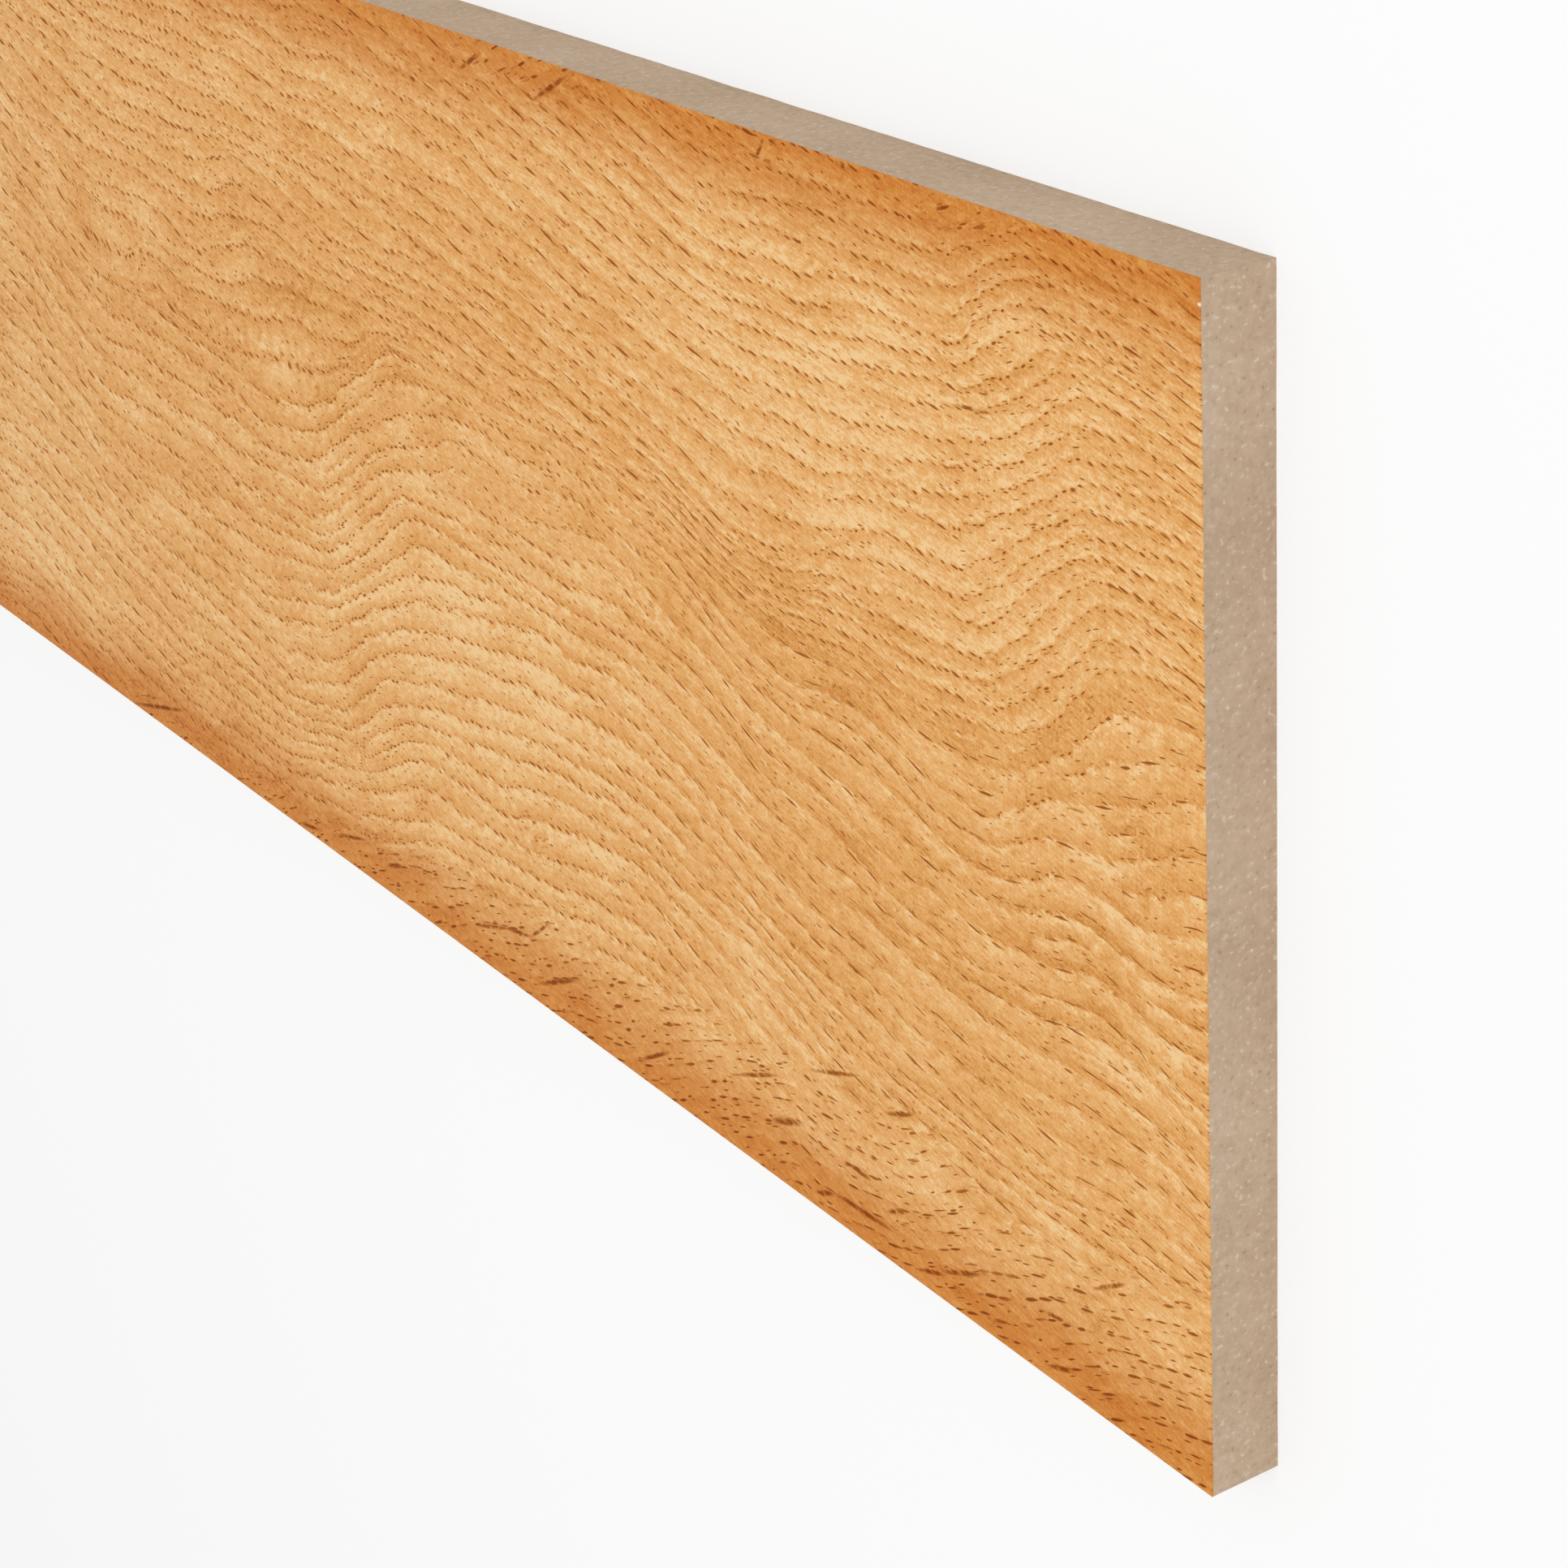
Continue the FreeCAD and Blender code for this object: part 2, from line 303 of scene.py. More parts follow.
    (10, [(-300, 39.5), (-290, 40.3), (-280, 41.6), (-270, 44), (-262, 46.6), (-255, 48.4), (-248, 48.8),
          (-241, 48.5), (-235, 49), (-225, 48.9), (-218, 48.6), (-211, 49), (-205, 50), (-198, 51.5),
          (-190, 53.5), (-182, 55), (-175, 56.3), (-163, 58), (-140, 62.5), (-130, 66), (-120, 69.6),
          (-110, 70.6), (-100, 70.1), (-94, 68.6), (-88, 67.2), (-80, 67), (-76, 66.3), (-70, 65.3),
          (-64, 64.8), (-57, 64.2), (-54, 63.8), (-50, 62.7), (-48, 61.6), (-46, 60.3), (-44, 58.8),
          (-42, 57.4), (-40, 55.3), (-38, 53.6), (-36, 52), (-34, 50.1), (-32, 48.9), (-30, 47.5),
          (-28.5, 46.3), (-27, 45.6), (-25, 44.9), (-22.5, 44.4), (-18, 44.4), (-12, 44), (-5, 43.8),
          (0, 44.5)]),
    (11, [(-300, 43.5), (-290, 44.3), (-282, 46.2), (-275, 47), (-265, 48.9), (-260, 49.9), (-252, 50.6),
          (-245, 51.7), (-236, 52.1), (-230, 52.3), (-225, 52), (-217, 52.2), (-210, 52.6), (-205, 54.6),
          (-197, 56.8), (-190, 58), (-182, 58.6), (-175, 59.6), (-170, 60.6), (-163, 61.8), (-140, 64.6),
          (-130, 68), (-120, 71.6), (-110, 73), (-100, 72.3), (-92, 70.1), (-88, 69.5), (-83, 69.8),
          (-76, 69.8), (-68, 69.6), (-60, 69.3), (-54, 68.7), (-50, 68.2), (-47, 66.9), (-45, 65.5),
          (-43, 63.9), (-41, 62.5), (-39, 61), (-37, 58.9), (-35, 57.2), (-33, 55.3), (-31, 53.4),
          (-29, 51.2), (-27, 49.8), (-25, 48.9), (-23, 48.3), (-20, 47.5), (-15, 47.2), (-10, 47.6),
          (-5, 48), (0, 48.8)]),
    (12, [(-300, 51.5), (-290, 51.9), (-283, 51.4), (-276, 53), (-270, 54.8), (-264, 55.6), (-258, 55.2),
          (-252, 55.2), (-244, 55.3), (-238, 55.9), (-232, 56), (-225, 55.8), (-218, 56.4), (-211, 56.7),
          (-205, 58), (-197, 60), (-190, 61), (-182, 61.3), (-175, 61.8), (-163, 63.5), (-140, 66.5),
          (-130, 70), (-120, 73.6), (-110, 75.5), (-100, 74.9), (-93, 73.2), (-86, 72.7), (-78, 73.2),
          (-70, 73.8), (-60, 73.3), (-54, 72.7), (-50, 72), (-47, 70.7), (-45, 69.4), (-43, 67.8),
          (-41, 66.5), (-39, 65), (-37, 63.1), (-35, 61.5), (-33, 60.4), (-31, 58.6), (-29, 57),
          (-27, 55.3), (-25, 53.3), (-23, 51.9), (-20, 51), (-17, 50.4), (-14, 50.5), (-10, 51), (-6, 51.6),
          (-3, 53), (0, 54.2)]),
    (13, [(-300, 57.6), (-292, 56.5), (-285, 56.8), (-275, 56.6), (-265, 57.2), (-255, 57.3), (-245, 58.5),
          (-237, 59), (-230, 59.1), (-225, 59.7), (-215, 60.6), (-207, 61.3), (-198, 62.6), (-190, 63.2),
          (-182, 63.3), (-175, 63.6), (-163, 65.2), (-140, 68.5), (-130, 71.8), (-120, 75.4), (-110, 77.6),
          (-100, 77), (-93, 75.6), (-86, 75.3), (-78, 76.6), (-70, 77.5), (-66, 77.4), (-60, 76.2),
          (-54, 75.8), (-47, 75.4), (-44, 74.6), (-42, 73.2), (-40, 71.5), (-38, 69.6), (-36, 68.1),
          (-34, 67), (-32, 65.6), (-30, 63.7), (-28, 61.6), (-26, 60), (-24, 58.1), (-22, 56.7), (-20, 56),
          (-17, 55.8), (-12, 55.6), (-7, 55.9), (-3, 55.9), (0, 56.6)]),
    (14, [(-300, 73.3), (-290, 71.6), (-285, 69.9), (-278, 68.6), (-270, 68.2), (-264, 68.8), (-259, 69.1),
          (-253, 68.6), (-249, 67.3), (-243, 64.6), (-239, 62.6), (-235, 61.8), (-230, 61.8), (-225, 62.4),
          (-215, 62.8), (-207, 63.3), (-201, 64.4), (-195, 65), (-185, 65.2), (-175, 65.2), (-163, 66.8),
          (-140, 70.4), (-130, 73.6), (-120, 77), (-110, 79), (-100, 79.6), (-93, 78.3), (-86, 78),
          (-78, 79.3), (-70, 80.8), (-62, 80.6), (-57, 79.8), (-51, 78.8), (-46, 78.4), (-43, 78),
          (-41, 77.1), (-38, 75.6), (-36, 74.3), (-34, 72.6), (-32, 70.7), (-30, 69), (-28, 67.2),
          (-26, 65.1), (-24, 63), (-22, 61.3), (-20, 60.2), (-17, 59.5), (-13, 59), (-8, 58.7), (-3, 58.6),
          (0, 59.1)]),
    (15, [(-300, 90.5), (-288, 88.7), (-280, 87.5), (-273, 86.8), (-269, 84.9), (-264, 83.2), (-260, 81.3),
          (-257, 78.8), (-253, 76), (-250, 74.8), (-246, 72.9), (-243, 70.8), (-240, 68.3), (-237, 66.6),
          (-233, 65.4), (-230, 65.4), (-225, 65), (-217, 65.6), (-206, 65), (-200, 66), (-195, 66.4),
          (-189, 66.9), (-182, 67.2), (-175, 67), (-163, 68.8), (-140, 72.2), (-132, 75), (-124, 76.9),
          (-119, 78.4), (-113, 79.6), (-108, 81.4), (-103, 82.6), (-98, 82), (-93, 81.1), (-86, 80.9),
          (-80, 82), (-75, 84), (-72, 85.2), (-66, 85.6), (-58, 85.4), (-50, 84.8), (-45, 83.5), (-41, 82),
          (-38, 80.3), (-35, 78.4), (-32, 76.8), (-29, 74.6), (-26, 71.8), (-23, 69), (-19, 66), (-16, 65),
          (-12, 64.3), (-8, 63.4), (-4, 62.8), (0, 62.6)]),
    (16, [(-300, 96.5), (-295, 95), (-290, 93.4), (-285, 92.6), (-278, 91.7), (-272, 90.3), (-266, 88.2),
          (-262, 86), (-258, 83.6), (-254, 80.9), (-249, 78), (-245, 75.6), (-241, 73.4), (-238, 71.6),
          (-234, 70.1), (-230, 69.4), (-225, 68.6), (-218, 68.6), (-210, 67.8), (-204, 69), (-200, 70.2),
          (-195, 70.8), (-188, 70.8), (-180, 70.2), (-172, 70.6), (-163, 72.4), (-140, 76.8), (-132, 79.5),
          (-127, 81.5), (-122, 84), (-117, 86.5), (-113, 87.8), (-108, 89.4), (-103, 89.9), (-98, 88.8),
          (-92, 87.4), (-85, 87.5), (-80, 88.3), (-76, 89.6), (-71, 90.5), (-66, 92), (-62, 93.2),
          (-57, 93.8), (-51, 94.2), (-47, 92.5), (-44, 90.6), (-41, 88.6), (-37, 86), (-33, 84.8),
          (-28, 83.8), (-23, 82), (-18, 80.6), (-13, 79), (-8, 76.6), (-4, 75), (0, 73.7)]),
    (17, [(-300, 100.3), (-295, 99.9), (-287, 99.2), (-280, 98.6), (-275, 97.3), (-270, 95), (-266, 92.7),
          (-263, 90.3), (-260, 88.5), (-256, 86.2), (-250, 84.8), (-247, 83.5), (-244, 81.8), (-240, 80.2),
          (-235, 78.2), (-230, 76.7), (-225, 75.2), (-220, 73.8), (-215, 72.9), (-209, 72.6), (-204, 71.7),
          (-200, 72), (-196, 72.6), (-192, 73.2), (-188, 73.8), (-183, 73.4), (-178, 72.6), (-172, 72.8),
          (-167, 73.8), (-163, 74.6), (-140, 79), (-130, 82.6), (-122, 87.2), (-115, 89.7), (-108, 91.5),
          (-100, 92.2), (-92, 91.3), (-85, 91.4), (-80, 92.5), (-75, 94.3), (-70, 96), (-66, 97.1),
          (-60, 97.4), (-55, 97.9), (-50, 98.2), (-46, 97), (-42, 94.6), (-38, 92), (-33, 90.6),
          (-28, 90.2), (-23, 90.2), (-18, 89.5), (-13, 87), (-8, 84), (-4, 82.2), (0, 81.2)]),
    (18, [(-300, 104.5), (-291, 103.6), (-286, 103.2), (-281, 102.7), (-277, 102.5), (-272, 102.8),
          (-268, 102.5), (-264, 100.4), (-261, 98.8), (-258, 96.9), (-255, 94.8), (-251, 92.2), (-248, 90),
          (-245, 87.9), (-242, 86.4), (-239, 85.3), (-236, 84.2), (-233, 83.7), (-229, 83), (-225, 82),
          (-221, 80.3), (-218, 79), (-214, 77.4), (-211, 76.7), (-207, 77.2), (-204, 77.8), (-198, 78),
          (-191, 79.4), (-187, 79), (-183, 78.3), (-179, 77.5), (-176, 76.5), (-172, 75.8), (-168, 75.6),
          (-163, 76.2), (-158, 77.3), (-150, 79), (-140, 81.2), (-133, 84.3), (-128, 86.9), (-120, 90),
          (-115, 91.7), (-110, 93), (-105, 94.2), (-100, 95), (-93, 95.4), (-86, 95.4), (-80, 96.9),
          (-75, 98.2), (-70, 99.4), (-64, 101.3), (-57, 102.9), (-50, 103.2), (-45, 102), (-40, 100),
          (-36, 98.2), (-32, 96.8), (-28, 96.3), (-23, 96.6), (-18, 97.4), (-14, 98.4), (-9, 97.5),
          (-4, 95.5), (0, 94.5)]),
    (19, [(-300, 108.2), (-292, 109.2), (-286, 109.8), (-281, 109.6), (-277, 108.9), (-273, 108),
          (-270, 106.9), (-267, 105), (-264, 103), (-261, 101), (-258, 99.2), (-254, 96.6), (-250, 93.9),
          (-246, 91.8), (-243, 90.6), (-240, 89.6), (-237, 88.5), (-233, 87.4), (-229, 86.8), (-225, 86.2),
          (-220, 84.2), (-217, 83.1), (-214, 81.9), (-209, 81.4), (-203, 81.9), (-198, 83), (-195, 84.8),
          (-191, 85.6), (-187, 85.3), (-182, 84.3), (-178, 84), (-174, 82.8), (-170, 82.2), (-166, 81.5),
          (-162, 81), (-158, 81.8), (-154, 83), (-150, 85.2), (-140, 88.5), (-130, 92), (-120, 96),
          (-110, 99), (-100, 100.8), (-90, 102), (-80, 104), (-70, 106), (-60, 107.3), (-53, 107.6),
          (-47, 107), (-42, 106), (-37, 104), (-33, 102.4), (-27, 102.2), (-22, 102.6), (-17, 103.6),
          (-14, 104.6), (-10, 105), (-5, 104.5), (0, 103.5)]),
    (20, [(-300, 118.8), (-295, 118.3), (-288, 118), (-282, 117.5), (-276, 117.3), (-271, 116.1),
          (-267, 114), (-263, 111.8), (-259, 108.9), (-256, 106.5), (-252, 104), (-248, 101.5),
          (-244, 98.8), (-241, 96.5), (-238, 95), (-235, 94), (-230, 94), (-225, 94.4), (-219, 94.3),
          (-214, 94.6), (-208, 95), (-203, 94.8), (-199, 93.8), (-195, 93.3), (-191, 93.5), (-187, 93.2),
          (-182, 93.8), (-178, 94.2), (-174, 94.6), (-169, 94.1), (-164, 92.9), (-160, 92.3), (-157, 92.5),
          (-154, 93.3), (-150, 94.4), (-140, 95.8), (-130, 98), (-123, 100.1), (-118, 101.9), (-113, 103.6),
          (-108, 104.6), (-103, 105), (-98, 106), (-92, 107.4), (-86, 108.8), (-80, 110.1), (-74, 111.2),
          (-66, 111.6), (-60, 112.3), (-53, 113.3), (-47, 113), (-42, 113.2), (-36, 113), (-32, 111.8),
          (-29, 110.7), (-25, 110.1), (-21, 110.3), (-17, 111.6), (-12, 113.2), (-7, 114), (-2, 113.8),
          (0, 113.6)]),
    (21, [(-300, 123.5), (-294, 122.9), (-288, 121.7), (-283, 121.2), (-277, 121), (-272, 119.8),
          (-268, 118), (-264, 115.9), (-260, 113.8), (-256, 112), (-253, 109.7), (-250, 107.5),
          (-246, 105.4), (-243, 103), (-241, 101), (-238, 99.6), (-234, 97.8), (-230, 96.8), (-225, 96.3),
          (-219, 96.6), (-214, 96.9), (-210, 97.3), (-206, 97.2), (-200, 97.4), (-195, 98.2), (-188, 98.8),
          (-180, 98.6), (-172, 98.4), (-164, 98), (-157, 97.8), (-150, 98.2), (-140, 99.3), (-130, 101.8),
          (-122, 105), (-113, 108.6), (-104, 109.8), (-95, 110.8), (-88, 113), (-80, 116.5), (-70, 119.5),
          (-60, 121.2), (-50, 121), (-40, 119.8), (-30, 117.6), (-22, 117.3), (-14, 119.6), (-8, 121.6),
          (0, 124)]),
    (22, [(-300, 128), (-294, 126.8), (-289, 126), (-284, 125.4), (-278, 125.2), (-273, 124.2),
          (-270, 122.9), (-267, 120.7), (-264, 119.2), (-260, 117.6), (-256, 115.5), (-253, 114.2),
          (-250, 112.8), (-247, 110.6), (-244, 108.8), (-241, 107), (-238, 105), (-235, 103.5),
          (-233, 102.4), (-229, 101.4), (-225, 100.9), (-220, 101.6), (-215, 102.2), (-211, 102),
          (-207, 101.4), (-203, 100.8), (-199, 100.8), (-194, 101.1), (-189, 101.3), (-185, 101),
          (-181, 101.2), (-177, 102.5), (-172, 103.3), (-168, 103.4), (-164, 102.9), (-159, 102.3),
          (-154, 102.3), (-150, 102.8), (-140, 105), (-135, 106.6), (-130, 108.5), (-125, 110.4),
          (-120, 112.4), (-115, 114.5), (-110, 115.4), (-105, 116.2), (-100, 117.3), (-96, 118.4),
          (-92, 118.9), (-88, 118.7), (-84, 119.3), (-80, 120.4), (-75, 121.6), (-70, 122), (-65, 121.9),
          (-60, 122.7), (-56, 123.2), (-50, 122.7), (-45, 122), (-40, 121.6), (-35, 120.1), (-30, 119.1),
          (-25, 118.6), (-21, 118.5), (-16, 119.8), (-11, 121.4), (-7, 122.4), (-3, 124), (0, 125)]),
    (23, [(-300, 139.5), (-296, 138.2), (-291, 136.6), (-286, 135.7), (-281, 135), (-276, 134),
          (-272, 132.9), (-269, 131.6), (-266, 129.6), (-263, 127.6), (-260, 126.1), (-256, 124),
          (-252, 122.2), (-248, 120.5), (-244, 118.8), (-241, 117.6), (-237, 116.5), (-233, 114.7),
          (-229, 114.4), (-225, 113.8), (-219, 112.3), (-214, 111.5), (-209, 110.9), (-204, 110.3),
          (-200, 109.8), (-197, 109), (-194, 107.9), (-190, 106.9), (-186, 106.5), (-182, 106.4),
          (-178, 107.2), (-173, 107.7), (-170, 107.2), (-164, 106.8), (-158, 107), (-153, 107.7),
          (-140, 110.8), (-131, 113.5), (-125, 115), (-120, 116.7), (-115, 118), (-110, 119.7),
          (-105, 121.1), (-100, 122.2), (-95, 123.4), (-90, 123.2), (-84, 123.5), (-80, 124.7),
          (-75, 125.6), (-68, 126.6), (-63, 126.9), (-58, 127.6), (-53, 128.4), (-47, 128.9), (-40, 129),
          (-35, 128.8), (-30, 128.6), (-24, 128.4), (-16, 128.8), (-8, 129.5), (0, 131)]),
    (24, [(-300, 145), (-291, 143.4), (-286, 142.9), (-282, 142), (-278, 141.2), (-274, 139.5),
          (-271, 138.2), (-268, 136.3), (-265, 134.3), (-262, 132.5), (-259, 130.7), (-256, 128.6),
          (-253, 127.7), (-249, 126), (-245, 124.6), (-242, 123), (-237, 122), (-233, 121), (-229, 119.7),
          (-225, 119.1), (-219, 117.8), (-214, 117), (-209, 116.3), (-204, 115.8), (-199, 114.9),
          (-195, 114), (-191, 113.2), (-188, 112.8), (-184, 113.4), (-179, 114.1), (-174, 114.4),
          (-171, 113.5), (-168, 112.8), (-164, 112.8), (-160, 113.3), (-154, 113.6), (-140, 116.5),
          (-130, 119.7), (-126, 121.1), (-122, 122.8), (-115, 125), (-110, 126), (-105, 127), (-100, 128.6),
          (-95, 129.4), (-90, 129.3), (-86, 129.9), (-82, 130.9), (-78, 131.7), (-74, 133), (-70, 134.3),
          (-65, 134.2), (-60, 134.9), (-55, 135.7), (-48, 136.2), (-42, 136.2), (-37, 135.6), (-30, 134.5),
          (-22, 134.5), (-14, 133.9), (-8, 134.7), (0, 137)]),
    (25, [(-300, 151.5), (-292, 149.7), (-288, 148.9), (-284, 148), (-280, 147.2), (-277, 146.4),
          (-274, 145), (-271, 143.2), (-268, 141.2), (-264, 138.8), (-261, 136.7), (-258, 134.9),
          (-254, 132.5), (-249, 130.4), (-245, 128.8), (-239, 126.6), (-235, 126.1), (-232, 124.9),
          (-228, 124.2), (-225, 123.8), (-220, 122.9), (-215, 122.1), (-210, 121.2), (-205, 120.6),
          (-201, 120), (-197, 118.8), (-193, 118.4), (-190, 118.8), (-186, 119.5), (-182, 119.8),
          (-179, 119.2), (-175, 118.5), (-170, 118), (-165, 117.7), (-160, 118.1), (-156, 118.7),
          (-150, 120), (-140, 121.5), (-129, 125), (-120, 128.3), (-115, 129.8), (-110, 131.1),
          (-105, 132.4), (-100, 133.6), (-94, 133.8), (-88, 134.5), (-84, 135.5), (-80, 136.9),
          (-76, 138.3), (-70, 139.8), (-64, 139.3), (-60, 139.9), (-54, 140.8), (-46, 140.9), (-40, 141.6),
          (-34, 142.2), (-28, 141.3), (-22, 139.9), (-16, 139.2), (-10, 139.6), (-4, 141), (0, 142)]),
    (26, [(-300, 156.5), (-295, 155.4), (-290, 154.4), (-285, 153.3), (-280, 152.3), (-274, 151.2),
          (-270, 149.4), (-267, 147), (-264, 144.6), (-261, 142.7), (-258, 140.9), (-255, 138.9),
          (-252, 137.4), (-249, 135.9), (-244, 135.1), (-240, 134.3), (-237, 133.5), (-235, 132.3),
          (-232, 131.7), (-228, 131.2), (-225, 130.5), (-220, 129.4), (-216, 128.5), (-211, 128),
          (-206, 127.5), (-202, 126.9), (-198, 126.3), (-194, 125.6), (-190, 125.5), (-185, 125.4),
          (-180, 125.2), (-175, 124.8), (-172, 124.4), (-169, 123.8), (-164, 124), (-159, 124.3),
          (-154, 124.4), (-140, 127), (-131, 129.8), (-126, 131.5), (-121, 133.3), (-116, 135.6),
          (-110, 137), (-105, 138.4), (-100, 139.5), (-95, 140.2), (-89, 140.9), (-83, 141.5), (-78, 142.8),
          (-73, 144.1), (-67, 145.1), (-62, 145.3), (-58, 146.2), (-53, 146.9), (-48, 147), (-43, 147.8),
          (-37, 148.4), (-31, 148), (-25, 146.9), (-19, 146.3), (-12, 147), (-6, 147.6), (0, 148.5)]),
    (27, [(-300, 160.5), (-291, 158.7), (-286, 157.4), (-282, 156.2), (-277, 155.3), (-272, 154.7),
          (-268, 153.5), (-265, 151.4), (-262, 149), (-259, 146.5), (-256, 144.5), (-254, 143.2),
          (-251, 142), (-248, 141.3), (-243, 139.8), (-238, 138), (-233, 137), (-229, 136.4), (-225, 135.8),
          (-220, 135), (-215, 134), (-210, 132.9), (-205, 132.2), (-200, 131.2), (-195, 130.4),
          (-190, 129.9), (-186, 129.4), (-180, 129.3), (-174, 129.2), (-170, 128.8), (-166, 128.1),
          (-161, 128.4), (-156, 128.6), (-150, 128.9), (-140, 131.8), (-134, 133.3), (-128, 134.8),
          (-122, 136.5), (-116, 138.5), (-112, 140), (-107, 141.7), (-102, 143.4), (-97, 144.9),
          (-92, 146.2), (-87, 147.3), (-82, 148.3), (-77, 149.3), (-70, 149.9), (-62, 150.6), (-55, 151.4),
          (-48, 152), (-42, 152.6), (-36, 152.4), (-30, 151.2), (-22, 150.3), (-15, 150.2), (-8, 150.8),
          (0, 151.5)]),
    (28, [(-300, 163), (-291, 161.2), (-285, 159.8), (-279, 158.7), (-273, 157.8), (-268, 156.5),
          (-264, 154.5), (-260, 151.8), (-256, 149.5), (-252, 147.5), (-249, 145.7), (-245, 144),
          (-240, 142.4), (-235, 141.5), (-230, 140.8), (-225, 140), (-218, 138.9), (-213, 138),
          (-208, 137.3), (-204, 136.6), (-199, 135.8), (-195, 134.8), (-191, 134), (-187, 133.5),
          (-181, 133.3), (-175, 132.9), (-170, 132.4), (-165, 132), (-158, 132), (-150, 133), (-140, 136.3),
          (-130, 138.3), (-120, 140), (-112, 142), (-106, 144), (-100, 146.2), (-90, 149), (-80, 151),
          (-60, 152.8), (-40, 154.3), (-20, 153), (0, 153.2)]),
    (29, [(-300, 165.5), (-290, 163.4), (-284, 162), (-278, 160.6), (-272, 160.2), (-266, 159.2),
          (-262, 157.4), (-258, 155), (-255, 153), (-252, 151), (-249, 149.2), (-245, 147.6), (-242, 146.7),
          (-239, 145.9), (-234, 144.9), (-230, 144.5), (-225, 144.5), (-218, 144.1), (-211, 144),
          (-206, 143.3), (-202, 142.1), (-198, 141.1), (-195, 140.3), (-192, 139.5), (-187, 139),
          (-182, 138.7), (-176, 138.7), (-170, 138.4), (-165, 137.9), (-161, 137.4), (-156, 137.6),
          (-150, 138.2), (-140, 141.3), (-134, 142.3), (-126, 142), (-118, 142.6), (-112, 144.2),
          (-106, 146.4), (-100, 148.4), (-95, 149.8), (-89, 151.1), (-82, 152.9), (-74, 154), (-60, 155),
          (-40, 156), (-20, 155), (0, 155)]),
    (30, [(-300, 168.5), (-290, 167), (-282, 165.5), (-276, 163.7), (-270, 162.5), (-265, 161.2),
          (-260, 159.6), (-256, 157.5), (-252, 155), (-248, 152.9), (-244, 151.3), (-238, 150),
          (-232, 149.4), (-225, 149), (-217, 149.4), (-210, 149.8), (-205, 149.4), (-201, 148.3),
          (-197, 147), (-194, 146), (-191, 145), (-186, 144.5), (-180, 143.9), (-174, 143.6), (-169, 142.8),
          (-164, 141.9), (-160, 141.8), (-155, 142.2), (-150, 143.3), (-140, 146), (-130, 149), (-120, 152),
          (-110, 155), (-100, 158), (-80, 162), (-40, 166), (0, 168)]),
    (31, [(-300, 172.5), (-290, 171), (-278, 169), (-268, 166.5), (-260, 164), (-255, 162), (-250, 159.7),
          (-246, 157.6), (-241, 156), (-236, 155.3), (-230, 155.7), (-225, 156), (-218, 155.5),
          (-212, 154.9), (-205, 155), (-199, 154.8), (-194, 154), (-190, 152.6), (-186, 151.5),
          (-181, 151.2), (-176, 150.3), (-171, 149.3), (-166, 147.9), (-161, 147.3), (-156, 147.6),
          (-150, 148.6), (-140, 151.5), (-130, 155), (-120, 158.5), (-110, 161.5), (-90, 166), (-60, 171),
          (0, 175)]),
    (32, [(-300, 178), (-275, 174), (-260, 170), (-252, 167.5), (-245, 165), (-240, 163.3), (-235, 162.5),
          (-231, 161.7), (-225, 161.5), (-215, 160.8), (-209, 160), (-203, 159.6), (-197, 159.1),
          (-191, 158.8), (-186, 158.3), (-181, 157), (-175, 156), (-169, 155.7), (-162, 155.4),
          (-154, 154.7), (-146, 155.6), (-135, 159), (-120, 164), (-100, 169), (-60, 176), (0, 180)]),
]

# Paler and darker patches of the figure: mm from the right-hand end, mm down from the top edge,
# half length, half height, and how pale.
TONE_PATCHES = [
    (-205, 122, 60, 26, 1.0), (-88, 38, 45, 20, 1.0), (-440, 150, 45, 28, 0.9), (-60, 62, 30, 8, 0.5),
    (-20, 122, 14, 4, 0.8), (-265, 60, 45, 20, -0.9), (-110, 80, 40, 12, -0.9), (-20, 80, 22, 14, -0.7),
    (-335, 82, 45, 16, -0.8), (-75, 125, 60, 22, -0.7), (-330, 168, 40, 8, -0.6), (-190, 48, 40, 16, -0.4),
]
# Where the shading beside the rows is deeper or fainter than usual, in the same order.
DEPTH_PATCHES = [
    (-195, 125, 55, 28, 0.25), (-265, 110, 28, 40, 0.12), (-190, 80, 32, 13, -0.42),
    (-275, 35, 40, 25, -0.22), (-20, 110, 18, 14, 0.6), (-50, 45, 55, 32, 0.06),
    (-30, 142, 45, 13, -0.25), (-15, 82, 22, 9, 0.1), (-195, 32, 40, 26, -0.12),
]
# A ring line of the grain along the long edges, whose copies lie one above the other, and strips of that
# grain at the top edge: mm from the right-hand end, half length.
EDGE_LINE = [(-480, 315), (-230, 220), (-190, 205), (-150, 190), (-110, 173), (-103, 174.5), (-91, 173.7),
             (-82, 172.5), (-78, 171.3), (-73, 169.6), (-69, 167.5), (-65, 165.2), (-60, 162.5), (-50, 158.5),
             (-40, 154.5), (-20, 147), (0, 140)]
EDGE_RING = 3.8  # mm between the rings there
TOP_STRIPS = [(-430, 25), (-320, 30), (-175, 20), (-104, 5), (-52, 8)]
STRIP_HEIGHT, STRIP_FADE = 6.0, 3.0  # mm
FOOT_FROM, FOOT_TO, FOOT_FADE = -405.0, -375.0, 7.0  # mm, where that grain begins at the bottom edge
